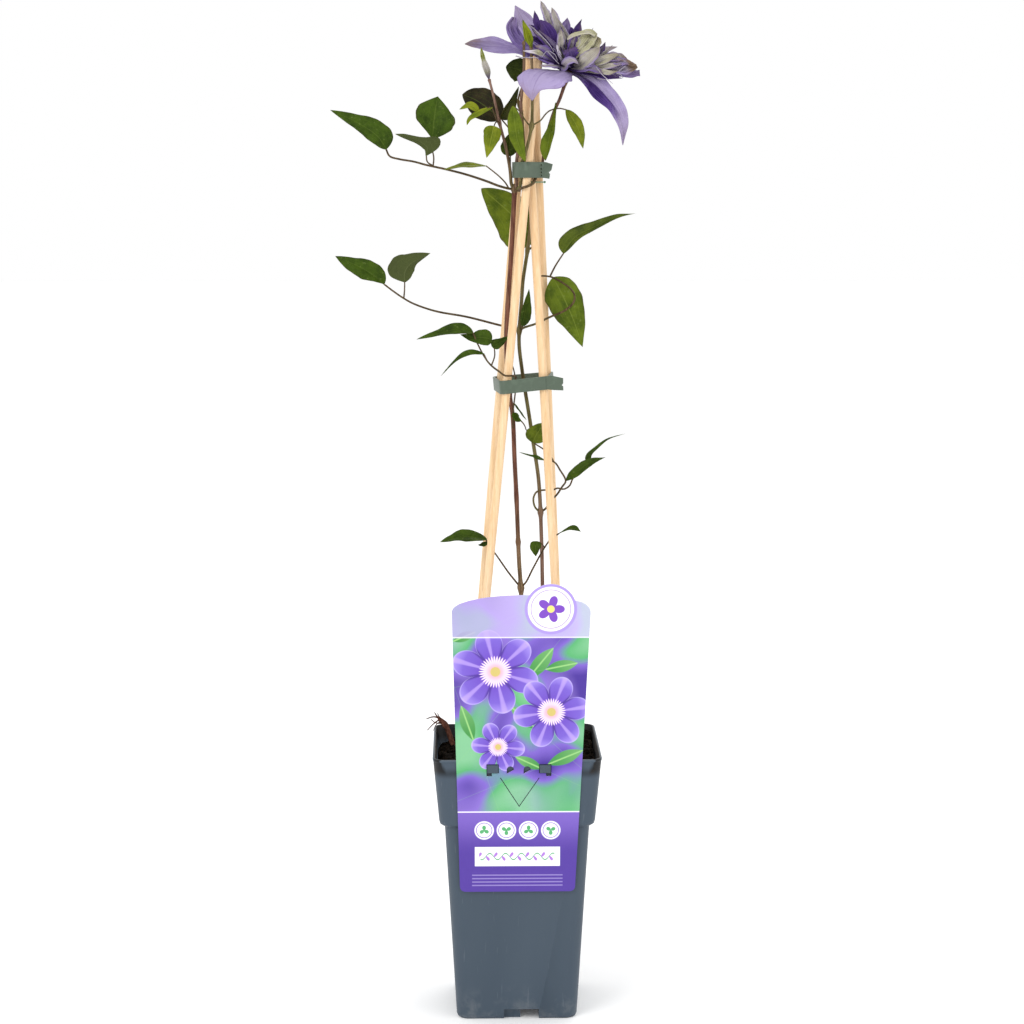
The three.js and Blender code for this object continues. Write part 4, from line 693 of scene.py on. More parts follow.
def label_finish():
    """Printed card: a blurred garden of violet and green, round blossoms with leaf sprigs, a pale band above,
    a white disc on the bump, a row of ringed discs and a violet band below. Its back is plain."""
    look = Look("printed_card")
    x, y, front = look.written("card")

    def length(dx, dy):
        """The square root of the sum of both squares."""
        return (dx * dx + dy * dy) ** 0.5

    def polar(across, up):
        """Distance and bearing from a point of the card."""
        return length(x - across, y - up), look.math("ARCTAN2", y - up, x - across)

    blur = look.noise(look.vector(x * 0.018, y * 0.018, 0.0), 1.3, 1, 0.4)
    drift = look.noise(look.vector(x * 0.03, y * 0.012, 3.0), 1.0, 1, 0.4)
    look.colour = look.ramp(
        blur,
        (0.36, (0.07, 0.035, 0.3)),
        (0.46, (0.2, 0.12, 0.55)),
        (0.54, (0.1, 0.42, 0.16)),
        (0.66, (0.22, 0.52, 0.28)),
    )
    look.coat(drift.rise(0.45, 0.7) * 0.5, (0.3, 0.2, 0.62))
    for across, up, half_length, half_width, turn in SPRIG_LEAVES:
        dx, dy = x - across, y - up
        along = (dx * math.cos(turn) + dy * math.sin(turn)) / half_length
        aside = abs(dy * math.cos(turn) - dx * math.sin(turn))
        inside = ((1 - along * along).most(0.0) * half_width - aside).rise(-0.3, 0.5)
        shade = look.mix(aside.rise(0.9, 0.2), (0.05, 0.27, 0.06), (0.3, 0.6, 0.2))
        look.coat(inside, look.mix(along.rise(-1.0, 1.2) * 0.5, shade, (0.28, 0.55, 0.22)))
    for across, up, radius, petals, turn in BLOSSOMS:
        away, bearing = polar(across, up)
        angle = bearing + turn
        lobe = abs((angle * (petals / 2)).cos())
        room = (lobe**0.55 * 0.52 + 0.5) * radius - away
        share = away / radius
        shade = look.ramp(
            share,
            (0.0, (0.62, 0.42, 0.78)),
            (0.3, (0.15, 0.07, 0.5)),
            (0.75, (0.19, 0.115, 0.58)),
            (1.0, (0.36, 0.27, 0.76)),
        )
        shade = look.mix(lobe.rise(0.96, 1.0) * 0.55, shade, (0.55, 0.4, 0.85))
        shade = look.mix(lobe.rise(0.4, 0.1) * 0.7, shade, (0.05, 0.02, 0.22))
        look.coat(room.rise(-0.3, 0.5), look.mix(room.rise(1.6, 0.2) * 0.5, shade, (0.6, 0.52, 0.92)))
        fringe = (abs((angle * 17.0).sin()) * 0.14 + 0.24 - share).rise(-0.02, 0.03)
        look.coat(fringe, look.mix(share.rise(0.1, 0.3), (0.75, 0.45, 0.55), (0.9, 0.72, 0.88)))
        look.coat(share.rise(0.13, 0.1), (0.62, 0.5, 0.16))

    above = y.rise(TOP_BAND - 0.4, TOP_BAND + 0.2) * 0.72
    look.coat(above, look.mix(x.rise(-50.0, 50.0), (0.46, 0.36, 0.72), (0.62, 0.55, 0.84)))
    look.coat(abs(y - TOP_BAND).rise(0.7, 0.2) * 0.8, PAPER)
    away, bearing = polar(*BADGE)
    look.coat(away.rise(18.7, 18.3), (0.4, 0.3, 0.72))
    look.coat(away.rise(16.6, 16.0), (0.93, 0.93, 0.96))
    look.coat((abs((bearing * 2.5).cos()) * 5.5 + 4.5 - away).rise(-0.2, 0.4), (0.2, 0.07, 0.5))
    look.coat(away.rise(2.9, 2.4), (0.9, 0.72, 0.2))
    look.coat(abs(away - 14.0).rise(0.5, 0.15), VIOLET_INK)

    lower_ground = look.mix(y.rise(FOOT_BAND, -60.0), (0.2, 0.12, 0.52), (0.09, 0.045, 0.33))
    look.coat(y.rise(FOOT_BAND + 0.4, FOOT_BAND - 0.4), lower_ground)
    look.coat(abs(y - FOOT_BAND).rise(0.7, 0.2), PAPER)
    for across in DOTS:
        away, bearing = polar(across, DOT_ROW)
        look.coat(away.rise(7.3, 6.7), (0.92, 0.92, 0.96))
        look.coat(abs(away - 5.6).rise(0.45, 0.15), (0.25, 0.14, 0.55))
        sign = abs((bearing * 1.5 + across * 0.1).cos()) * 3.2 + 0.5
        look.coat((sign - away).rise(-0.2, 0.3), LEAF_INK)
    height = y - SCROLL_ROW
    wave = (x * SCROLL_WAVE).sin() * 2.4
    look.coat(abs(height).rise(7.6, 7.1) * abs(x).rise(31.0, 30.5), (0.93, 0.92, 0.97))
    look.coat(abs(height - wave).rise(0.7, 0.25) * abs(x).rise(27.0, 26.5), LEAF_INK)
    from_bead = look.math("PINGPONG", x + 1.4, BEAD_STEP) - BEAD_STEP / 2
    beads = length(from_bead, height - wave * -0.9).rise(1.7, 1.2) * abs(x).rise(28.0, 27.5)
    look.coat(beads, (0.42, 0.2, 0.66))
    lines = (y * 2.4).sin().rise(0.2, 0.6) * abs(y - LINE_ROW).rise(6.0, 5.6) * abs(x).rise(33.0, 32.5)
    look.coat(lines * 0.4, (0.55, 0.46, 0.85))

    back = look.mix(y.rise(-20.0, -24.0), (0.84, 0.83, 0.9), (0.12, 0.06, 0.38))
    look.colour = look.mix(front, back, look.colour)
    grain = look.noise(look.place(), 0.35, 2)
    look.bump(grain, 0.00008, 0.4)
    return look.finish(0.34 + grain * 0.08, 0.25)


# Pot, straps and label

# The pot's outside: half widths at the foot of its body and of its collar, and how far each flares.
BODY_HALF, BODY_FLARE = 44, 8.6
COLLAR_FOOT = 148
COLLAR_HALF, COLLAR_FLARE, COLLAR_HEIGHT = 56.2, 4.8, 50
CARD_FOOT = 186.3
CARD_LEAN = math.atan(COLLAR_FLARE / COLLAR_HEIGHT)
CARD_BACK = -(COLLAR_HALF + COLLAR_FLARE * (CARD_FOOT - COLLAR_FOOT) / COLLAR_HEIGHT) - 0.3
CARD_MIDDLE = 0.35  # out from the card's back: all that lies further out is printed

leaf_look = leaf_finish()
petal_look = petal_finish()
stem_look = stem_finish()
wood_look = wood_finish()
strap_look = strap_finish()

copy_node("pot", "moulded_pot", pot_finish(), 0.35)
copy_node("clip_lower", "lower_strap", strap_look, 0.22)
copy_node("clip_upper", "upper_strap", strap_look, 0.2)

card = copy_node("label", "hang_label", label_finish(), 0.12)
corners = np.zeros(3 * len(card.vertices), np.float32)
card.vertices.foreach_get("co", corners)
across, back, up = (corners.reshape(-1, 3) / MM).T
back, up = back - CARD_BACK, up - CARD_FOOT
card_up = up * math.cos(CARD_LEAN) - back * math.sin(CARD_LEAN)
card_out = -back * math.cos(CARD_LEAN) - up * math.sin(CARD_LEAN)
spots = np.stack([across, card_up, card_out > CARD_MIDDLE], -1)
card.attributes.new("card", "FLOAT_VECTOR", "POINT").data.foreach_set("vector", spots.ravel())


# Canes and wire

CANES = {  # foot at the compost, head
    "cane_front_left": ((-34, -35, 190), (16.3, -8, 698)),
    "cane_back_left": ((-34, 34, 190), (9.2, 7.5, 698)),
    "cane_front_right": ((35.5, -34, 190), (6.6, -0.3, 686)),
    "cane_back_right": ((36, 34, 190), (12.6, 1.5, 698)),
}
CANE_RADIUS = 3.0
CANE_BURIED = 65
WIRE_LEVEL = 608.6
WIRE_CLEAR = 3.75
WIRE_RADIUS = 0.45
TWIST_START = (20.9, 6.6)
TWIST_LENGTH = 5.0
TWIST_TURN = 9


def cane_axis(name):
    """A cane's foot and head. The foot lies CANE_BURIED further down its straight line."""
    foot, head = (np.array(p, float) for p in CANES[name])
    return foot + (foot - head) / np.linalg.norm(head - foot) * CANE_BURIED, head


def cane_at(name, z):
    """The point of a cane's straight line at a height."""
    foot, head = cane_axis(name)
    return foot + (head - foot) * (z - foot[2]) / (head[2] - foot[2])


def wire_loop():
    """A stadium round the two right-hand canes: half circles joined by straight runs."""
    first, second = (cane_at(name, WIRE_LEVEL)[:2] for name in ("cane_front_right", "cane_back_right"))
    way = unit(second - first)
    aside = np.array([way[1], -way[0]])
    turn = np.linspace(-0.5 * np.pi, 0.5 * np.pi, 9)[:, None]
    near = first - WIRE_CLEAR * (np.cos(turn) * way + np.sin(turn) * aside)
    far = second + WIRE_CLEAR * (np.cos(turn) * way + np.sin(turn) * aside)
    loop = np.vstack([near, far, near[:1]])
    return np.column_stack([loop, np.full(len(loop), WIRE_LEVEL)])


for name in CANES:
    foot, head = cane_axis(name)
    line = foot + (head - foot) * np.linspace(0, 1, 6)[:, None]
    rod = tube(line, CANE_RADIUS, sides=40, spacing=24, ribs=0.004, cap=0.5)
    make_piece(name.replace("cane", "wooden_cane"), [name], [(rod, 0)], [wood_look])

wires = [(tube(wire_loop(), WIRE_RADIUS, sides=10, spacing=0.8, ribs=0), 0)]
for phase in (0, math.pi):
    s = np.linspace(0, 1, 22)
    sideways, upwards = (WIRE_RADIUS * wave(TWIST_TURN * s + phase) for wave in (np.cos, np.sin))
    twist = [TWIST_START[0] + sideways, TWIST_START[1] + TWIST_LENGTH * s, WIRE_LEVEL + upwards]
    wires.append((tube(np.column_stack(twist), 0.42, sides=8, spacing=0.8, ribs=0), 0))
make_piece("twisted_wire", ["wire_tie"], wires, [wire_finish()])


# Compost and dead root

FLOOR_LEVEL = 12.5
SKIN_CLEAR = 1.9
SKIN_CORNER = 5.8
SKIN_POINTS = 208  # in each ring
CRUMBS = 900
CRUMB_SIZES = {0.5: 0.35, 0.8: 0.35, 1.2: 0.22, 1.9: 0.08}  # size: share of all crumbs
FIBRES = 70


def compost_height(x, y):
    """The compost's top: a gentle slope with two sets of crossed sine lumps, as in the CAD."""
    broad = 2.2 * np.sin(x / 7 + 1) * np.cos(y / 8 + 0.4)
    return 187 + 0.07 * x + 0.06 * y + broad + 1.3 * np.sin(x / 3.3 + 2) * np.sin(y / 3.9 + 1)


def square_loop(half, radius, turn):
    """A square with round corners: for each angle the point where a ray meets it, in x and y."""
    way = np.stack([np.cos(turn), np.sin(turn)], -1)
    reach = half / np.abs(way).max(-1)
    corner = half - radius
    inner = np.full(2, corner) * np.sign(way)
    along = (way * inner).sum(-1)
    room = np.maximum(along**2 - (inner**2).sum(-1) + radius**2, 0)
    in_corner = np.abs(way * reach[:, None]).min(-1) > corner
    return way * np.where(in_corner, along + np.sqrt(room), reach)[:, None]


def compost_skin():
    """Follows the pot's hollow a little inside it, from the floor up to a lumpy top of summed cosine waves."""

    def inside(z):
        """The skin's half width at a height: a straight flare up the body and another up the collar."""
        if z < COLLAR_FOOT:
            return BODY_HALF + BODY_FLARE * z / COLLAR_FOOT - SKIN_CLEAR
        return COLLAR_HALF + COLLAR_FLARE * (z - COLLAR_FOOT) / COLLAR_HEIGHT - SKIN_CLEAR

    turn = 2 * np.pi * (np.arange(SKIN_POINTS) + 0.5) / SKIN_POINTS
    profile = [(20, FLOOR_LEVEL), (inside(FLOOR_LEVEL) - 0.6, FLOOR_LEVEL), (inside(13), 13.3)]
    profile += [(inside(60), 60), (inside(147), 147.6)] + [(inside(z), z) for z in (152.4, 165, 175)]
    rings = []
    for half, z in profile:
        rings.append(np.column_stack([square_loop(half, SKIN_CORNER, turn), np.full(len(turn), z)]))
    edge = square_loop(inside(183), SKIN_CORNER, turn)
    draw = np.random.default_rng(5)
    waves = draw.uniform(-1, 1, (60, 2)) * draw.choice([0.35, 0.8, 1.6], 60)[:, None]
    shifts = draw.uniform(0, 2 * np.pi, 60)
    for share in np.concatenate([[1.0], np.linspace(0.992, 0.012, 84)]):
        loop = edge * share
        rough = np.cos(loop @ waves.T + shifts).sum(-1) * 0.13
        height = compost_height(*loop.T) + rough - 1.6 * np.clip((share - 0.94) / 0.06, 0, 1)
        rings.append(np.column_stack([loop, height]))
    rings = np.array(rings)
    return closed_rings(rings, [[0, 0, FLOOR_LEVEL]], [[0, 0, rings[-1][:, 2].mean()]])


def crumb(place, size, draw):
    """A small lump: rings of an ellipsoid whose radius is scaled by a random share."""
    steps, sides = 4, 7
    rise = ((np.arange(steps) + 1) / (steps + 1) * np.pi - np.pi / 2)[:, None]
    turn = 2 * np.pi * np.arange(sides) / sides
    grow = size * draw.uniform(0.7, 1.2, (steps, sides))
    ball = [np.cos(rise) * np.cos(turn), np.cos(rise) * np.sin(turn), np.sin(rise)]
    squash = np.array([1, draw.uniform(0.6, 1.3), draw.uniform(0.5, 0.9)])
    rings = place + np.stack(np.broadcast_arrays(*ball), -1) * grow[..., None] * squash
    poles = place + np.array([[0, 0, -size * 0.6], [0, 0, size * 0.6]]) * squash
    return closed_rings(rings, poles[:1], poles[1:])


draw = np.random.default_rng(8)
lumps = [(compost_skin(), 0)]
for _ in range(CRUMBS):
    x, y = draw.uniform(-55.5, 55.5, 2)
    size = draw.choice(list(CRUMB_SIZES), p=list(CRUMB_SIZES.values()))
    lumps.append((crumb(np.array([x, y, compost_height(x, y) + size * 0.3]), size, draw), 0))
for _ in range(FIBRES):
    middle = draw.uniform(-52, 52, 2)
    angle, half = draw.uniform(0, np.pi), draw.uniform(2.5, 6.5)
    step = np.array([math.cos(angle), math.sin(angle)]) * half
    ends = [middle - step, middle + draw.uniform(-1.2, 1.2, 2), middle + step]
    fibre = [(*p, compost_height(*p) + 0.9 + draw.uniform(-0.4, 0.5)) for p in ends]
    lumps.append((tube(fibre, draw.uniform(0.18, 0.4), sides=6, spacing=1.6, ribs=0), 0))
make_piece("compost_fill", ["soil"], lumps, [compost_finish()])

ROOT = [(-45, 36, 178), (-48, 40, 190), (-52.7, 44, 201), (-58, 46, 206)]
ROOT_FINGERS = (  # points, radius, sides, end radius
    ([(-57, 46, 205.4), (-59.5, 46.6, 206.4), (-62.6, 46, 206.6), (-67, 44, 205.5)], 0.7, 9, 0.35),
    ([(-57.4, 46, 205.8), (-59.3, 47, 207.6), (-60.8, 48, 210)], 0.7, 9, 0.3),
    ([(-56.6, 45.6, 205), (-61.5, 42.5, 202), (-66.3, 40, 197.5)], 0.65, 9, 0.3),
    ([(-53.5, 44.4, 202), (-60, 49, 201.5), (-63.5, 50, 204)], 0.6, 9, 0.3),
    ([(-55, 45, 204), (-57.5, 43.4, 208), (-58.4, 41.6, 210.6)], 0.6, 8, 0.25),
    ([(-54, 44.6, 203), (-57.4, 41, 203.4), (-60, 37.6, 201.6), (-61.6, 36, 198)], 0.5, 8, 0.2),
)
roots = [(tube(ROOT, 2.1, sides=20, spacing=1.0, ribs=0.12, end_radius=1.5, swellings=((ROOT[2], 0.6, 3),)), 0)]
for points, radius, sides, end_radius in ROOT_FINGERS:
    roots.append((tube(points, radius, sides, 0.9, end_radius=end_radius), 0))
make_piece("dead_root_over_the_rim", ["dry_root"], roots, [root_finish()])


# Stems

# A tone holds how olive, how pink and how bright a stem is.
RED_STEM = (0.0, 0.12, 0.46)
BROWN_STEM = (0.5, 0.2, 0.56)
OLIVE_STEM = (0.85, 0.0, 0.42)
DARK_OLIVE = (0.75, 0.0, 0.2)
NODE_STEM = (0.6, 0.1, 0.42)
MAUVE_STEM = (0.35, 0.5, 0.46)
PINK_STEM = (0.25, 0.65, 0.55)
DARK_PETIOLE = (0.5, 0.1, 0.02)
BROWN_PETIOLE = (0.5, 0.12, 0.16)
GREEN_PETIOLE = (0.9, 0.0, 0.2)
FADING_PETIOLE = (BROWN_PETIOLE, DARK_PETIOLE, DARK_PETIOLE)

BROWN_LINE = [
    (5, 2, 165), (4.5, 2, 200), (4, 2, 306), (2.3, 1, 334), (0.5, -1, 378), (-1, -3, 408), (-2.5, -5, 441),
    (-4.7, -6, 456), (-6.5, -6, 477), (-7, -4, 499), (-5.7, -2, 524), (-3.2, 0, 560), (-1, 0.5, 602),
]
GREEN_LINE = [
    (20, 4, 165), (20, 4, 230), (19.7, 4, 311), (18.9, 3, 348), (16.6, 0, 393), (12.8, -2, 419), (10.1, -3, 437),
    (4.4, -3, 473.5), (2.3, -1, 492), (2.6, 0, 505), (4.2, 2, 524), (5.2, 3, 538), (8.5, 4, 560), (10.6, 4, 582),
    (9.6, 3.8, 596), (7.4, 3.6, 607), (7, 3.5, 620), (6.4, 3.6, 640), (4.6, 4.4, 655), (1, 6, 668),
]
TOP_NODE = (-1, 0.5, 603.5)
LOW_NODE = (3.6, 1.7, 313)
TWINING_NODE = (18.2, 2, 369)
MIDDLE_NODE = (2.5, 0, 502)


def twig(points, radius, tone=DARK_PETIOLE, swellings=(), end_radius=None, **more):
    """A stem or petiole. Unless it is told otherwise it narrows towards its end by a quarter."""
    end_radius = end_radius or 0.75 * radius
    return tube(points, radius, spacing=1.6, swellings=swellings, tone=tone, end_radius=end_radius, **more), 0


def knot(place, radius, stretch=1.2, tone=NODE_STEM, way=(0, 0, 1)):
    """An egg-shaped swelling along a direction."""
    step = np.array(way, float) * radius * stretch
    line = np.array(place) + np.outer((-1, 0, 1), step)
    belly = (place, radius * 0.45, radius * stretch * 0.6)
    return tube(line, radius * 0.55, 16, 0.5, (belly,), tone=tone), 0


def bud(spine, half, tone, look, plump):
    """A closed bud: a blade as thick as it is wide, with overlapping scales pressed into its skin."""
    shape = {"fold": 0.2, "veins": 0.35, "pleat": 0.5, "size": (48, 40), "base_half": 0.7}
    return blade(spine, half, thick=plump, tone=tone, **shape), look


def leaf(spine, left, **more):
    """A green blade. Its tone holds how bright, how lime and how bronze it is."""
    shape = {"veins": 0.09, "arch": 0.5, "wave": 0.25, "tone": (0.5, 0, 0), **more}
    return blade(spine, left, **shape), 1


make_piece("old_brown_stem", ["stem_brown"], [
    twig(BROWN_LINE, 1.45,
        (MAUVE_STEM, *[BROWN_STEM] * 3, *[RED_STEM] * 5),
        sides=18, ribs=0.07, end_radius=1.65, swellings=((LOW_NODE, 1.1, 3.2), ((1.4, 0, 347), 0.5, 2.0),
        ((-4.7, -6, 458), 0.6, 2.2), (TOP_NODE, 0.9, 3.0), ((0.6, -0.8, 380), 0.2, 5),
        ((-6, -2.6, 520), 0.2, 4))),
    knot((-1, 0.3, 603.6), 2.9, 1.35, (0.45, 0.2, 0.4)),
], [stem_look])
make_piece("young_olive_stem", ["stem_green"], [
    twig(GREEN_LINE, 1.4,
        (*[MAUVE_STEM] * 4, OLIVE_STEM, *[DARK_OLIVE] * 4),
        sides=18, ribs=0.07, end_radius=1.15, swellings=((TWINING_NODE, 0.9, 2.8), (MIDDLE_NODE, 0.85, 2.6),
        ((8.5, 4, 560), 0.5, 2.4), ((4.6, 4.4, 655), 0.5, 2.2))),
], [stem_look])

BUD_NODE = (-12, -5, 651)
BUD_FOOT = (-19.4, -9, 681.5)
make_piece("left_bud_shoot", ["shoot_bud_left"], [
    twig([(-2.4, -0.6, 604.6), (-3.4, -1.4, 607.6), (-3.9, -2.2, 613.1), (-4.7, -2.4, 620), (-7.4, -3.2, 633.7),
        BUD_NODE, (-15.3, -7, 666), BUD_FOOT], 1.2, (NODE_STEM, BROWN_PETIOLE, MAUVE_STEM, MAUVE_STEM, PINK_STEM),
        ((BUD_NODE, 0.6, 2.2), (BUD_FOOT, 0.5, 2)), end_radius=0.85),
    bud([BUD_FOOT, (-20.7, -9.6, 687), (-22.8, -10.3, 693), (-24.3, -11, 698), (-24.9, -11.2, 703.4)],
        (0.7, 2.2, 2.4, 1.5, 0.9, 0.2), ((0.5, 0.5, 0.7), (0.05, 1.3, 0.2), (0.0, 1.2, 0), (0, 0.9, 0.2)), 2,
        3.4),
    bud([(-22.2, -10.5, 691.5), (-23.6, -11.2, 696), (-24.4, -11.6, 699.6), (-24.9, -11.4, 703.2)],
        (0.6, 1.5, 1.5, 1, 0.2), ((0.6, 0.9, 0.1), (0.6, 1, 0)), 1, 2.4),
], [stem_look, leaf_look, petal_look])
make_piece("middle_bud_shoot", ["shoot_bud_middle"], [
    twig([(-0.2, -1.4, 604.4), (0.4, -2.8, 607), (0.3, -3.6, 611), (0.3, -3.6, 622.6), (2.4, -8, 640),
        (3.4, -12, 666), (5.3, -14, 687), (5.3, -14, 706)], 1.15,
        (MAUVE_STEM, PINK_STEM, MAUVE_STEM, BROWN_PETIOLE), (((2.3, -7.6, 639), 0.6, 2),), 1.0),
    knot((5.3, -14, 706), 1.4, 1.4, (0.5, 0.3, 0.5)),
    leaf([(5.8, -14.4, 704), (6.2, -14.8, 706.4), (5.4, -14.2, 709)], 0.9, face=(-0.9, 0.4, 0), fold=0.8,
        tone=(0.55, 0.6, 0.3)),
], [stem_look, leaf_look])
LEAF_NODE = (10.7, -17.5, 648)
make_piece("leafy_shoot", ["shoot_leafy"], [
    twig([(0.4, -1.4, 603.6), (2.6, -3.8, 605), (3.3, -8, 608), (3.7, -11.6, 613), (3.7, -11.6, 621.5),
        (5.8, -15.6, 627), (8.2, -17.5, 636), (10.7, -17.5, 647.6), (11.2, -16, 662), (11.1, -14.5, 686),
        (10.3, -14, 705)], 1.15, (OLIVE_STEM, OLIVE_STEM, (0.6, 0.35, 0.45)), ((LEAF_NODE, 1.1, 2.2),
        ((10.3, -14, 704), 0.4, 2)), 1.0),
    bud([(10.2, -14, 703.4), (9.4, -14, 708), (7.6, -13.8, 713.4), (6, -13.4, 718), (4.4, -13, 722.6)],
        (0.6, 2.4, 3.1, 2.5, 1.5, 0.2), ((0.6, 0.6, 0.2), (0.6, 0.9, 0), (0.6, 1, 0), (0.5, 0.7, 0.2)), 1, 4.2),
    bud([(9.4, -15.4, 704.6), (7.6, -15.8, 709), (6.4, -15.4, 714), (5.4, -14.6, 719)], (0.4, 1.7, 1.9, 1.3, 0.2),
        ((0.6, 0.7, 0.2), (0.5, 1, 0), (0.5, 0.9, 0)), 1, 2.4),
    leaf([(10.6, -15, 702.6), (11.4, -15.6, 705.6), (10.4, -15.6, 708.6)], 1.1, face=(-0.8, -0.6, 0.2), fold=0.6,
        tone=(0.5, 0.5, 0.3)),
], [stem_look, leaf_look])
make_piece("flower_stalk", ["stalk_flower"], [
    twig([(0.6, -0.6, 603), (2.4, -2.8, 602.4), (2, -8, 602.8), (1.9, -13, 603.4), (4.2, -17.6, 604.4),
        (8.9, -18.4, 606), (12, -15.4, 607.8), (13, -11.6, 609.6), (13.8, -8.9, 611.3), (15.8, -6.2, 614.5),
        (17.8, -4, 618), (19, -3.2, 622), (19.6, -3.3, 627), (21.6, -5, 640.2), (26.7, -6, 657.5),
        (31.1, -5, 667.2), (34, -3.6, 675.4), (36, -2, 681.5)], 0.9, (BROWN_PETIOLE, BROWN_PETIOLE,
        (0.1, 0.25, 0.25), (0.15, 0.3, 0.34)), (((36, -2, 681.5), 0.9, 4),), 1.3),
], [stem_look])


# Leaves


def leafy(node, *parts, slot="leaf_green"):
    """Petioles and blades that stand for one leaf node."""
    make_piece(node.replace("leaf", "clematis_foliage"), [node], list(parts), [stem_look, leaf_look])


LANCE = {"peak": 0.36, "power": 1.15}
HEART = {"peak": 0.27, "power": 0.9}
LIME = (0.5, 0.95, 0.05)

leafy(
    "leaf_low_left",
    twig([LOW_NODE, (0.2, 3, 317), (-5.6, 6, 324), (-15.5, 8, 338), (-21.2, 6, 345), (-21.6, 4.6, 348.6)],
        0.7, FADING_PETIOLE),
    leaf([(-21.2, 4.4, 348.4), (-34.9, 2, 350.6), (-45.6, 0, 349.8), (-55.6, -2, 347.4)], 6.4,
        face=(0, -0.6, 0.8), wave=0.5),
    leaf([(-20.6, 5.4, 346.2), (-24.4, 4, 344.3), (-27.8, 3, 344.6)], 2.2, face=(0, -0.7, 0.7)),
)
leafy(
    "leaf_low_right",
    twig([LOW_NODE, (7.2, 0, 317), (12.5, -3, 328), (21, -6, 344), (25.5, -5, 350), (31.6, -4, 354)], 0.7,
        FADING_PETIOLE),
    leaf([(31, -4, 353.6), (36.8, -6, 356.9), (42.6, -7.5, 358), (47.5, -8, 355.6)], 2.7, face=(0, -0.6, 0.8),
        peak=0.6, power=1.2),
    twig([(21, -6, 344), (18, -8.2, 347.4), (15.4, -9.8, 348.8)], 0.55),
    leaf([(15.6, -9.8, 349), (14, -12, 344.6), (14.3, -12.6, 338.2)], 4.4, face=(-0.2, -1, 0.3)),
)
leafy(
    "leaf_twining",
    twig([TWINING_NODE, (21.8, 1, 371.6), (26.8, 0, 378.8), (30, 0, 382), (33.7, -2, 388), (36.3, -3, 392.4),
        (32.2, -2, 400.3), (28, 0, 406), (20.7, -2, 407.3)], 0.75),
    leaf([(21.5, -1.8, 407.2), (16, -5.8, 409.6), (11.6, -7.2, 411.2), (1.8, -8.4, 414.3)], 1.9,
        face=(0, -0.7, 0.7), **LANCE),
    leaf([(36.2, -3, 392.4), (46.6, -5, 400.9), (55.3, -6, 406.8), (65.5, -5, 410.1)], 4.6,
        face=(-0.4, -0.8, 0.5), wave=0.3, **LANCE),
    twig([(27.6, 0, 406.4), (24.5, -2, 411.5), (20.6, -4, 415.4), (15.2, -8, 419.3), (12, -9, 421.4)], 0.6),
    leaf([(12, -9, 421), (15, -8.4, 427.5), (22, -5.6, 436)], 8, right=7, face=(0.2, -1, 0.2), fold=0.15,
        tone=(0.65, 0.3, 0.15)),
)
leafy(
    "leaf_looped",
    twig([TWINING_NODE, (15, 0.6, 371.4), (13.2, 0, 375), (13, -1, 380.4), (15.4, -2.6, 384.6), (21.9, -4, 386),
        (26.4, -1, 385.3), (30.5, 2.4, 386.5), (35.3, 4.4, 385.5), (39.4, 4.4, 388), (42, 4, 393.7),
        (47, 3, 399.7), (52.6, 1, 406)], 0.7, (GREEN_PETIOLE, BROWN_PETIOLE, DARK_PETIOLE)),
    leaf([(52.6, 1, 405.8), (53.8, 0.5, 411), (58.3, 0, 415.6), (66.8, 0, 422.6), (80, 2, 426.6)], 2.5,
        face=(-0.3, -0.7, 0.6), peak=0.2, power=1.1),
)
leafy(
    "leaf_curled",
    twig([(-1.9, -4.2, 431), (-2.2, -7.4, 433), (-2.2, -8.4, 443.4), (-0.8, -8.6, 456), (-0.1, -8.6, 464),
        (-1.4, -10, 472.5), (-2.6, -11, 477)], 0.65),
    leaf([(-2, -8.6, 443), (0.2, -10.6, 438.6), (4.2, -11, 437)], 3.2, face=(0.3, -1, 0.3), fold=0.5),
    twig([(3.6, -10.8, 437.2), (6, -10, 434), (7.4, -8.6, 430)], 0.5),
    leaf([(-1.6, -8.8, 450), (3, -8.6, 443.5), (7.6, -8, 437.4)], 0.9, face=(0.5, -0.8, 0.4)),
)
leafy(
    "leaf_left_low",
    twig([(-5, -6, 458), (-2.6, -9.4, 461), (-1.6, -13, 464), (-0.4, -19, 469.6), (-3, -24.8, 471),
        (-8.3, -25.6, 471.2), (-12.6, -23, 474), (-18, -21, 478), (-22, -20, 482.7), (-27.6, -20, 493),
        (-31.4, -20, 502)], 0.75, FADING_PETIOLE),
    leaf([(-31, -20, 501.4), (-40, -21, 504), (-55, -22, 501.4), (-71.8, -24, 497)], 5.2, face=(0, -0.72, 0.7),
        wave=0.5),
    leaf([(-17.5, -17.4, 496.4), (-24, -18.6, 498), (-31, -19.4, 498), (-40.4, -19.2, 500.2)], 6.2,
        face=(0, -0.9, 0.4), fold=0.15, **HEART),
    twig([(-18, -21, 478), (-15.6, -17.6, 485), (-16, -14.6, 491.4)], 0.55),
    leaf([(-17.6, -14.6, 491.2), (-12, -12.8, 494), (-4.6, -11.8, 499)], 4.4, right=4, face=(0.1, -0.9, 0.3),
        peak=(0.2, 0.27), power=0.9),
    twig([(-21.4, -20, 482), (-23.3, -21, 486.4)], 0.55),
    leaf([(-23, -21, 486.4), (-33.9, -22, 487.2), (-43.9, -22.5, 481.6), (-54.5, -24, 470.6)], 2.7,
        face=(0, -0.7, 0.7), peak=0.3, power=1.4),
)
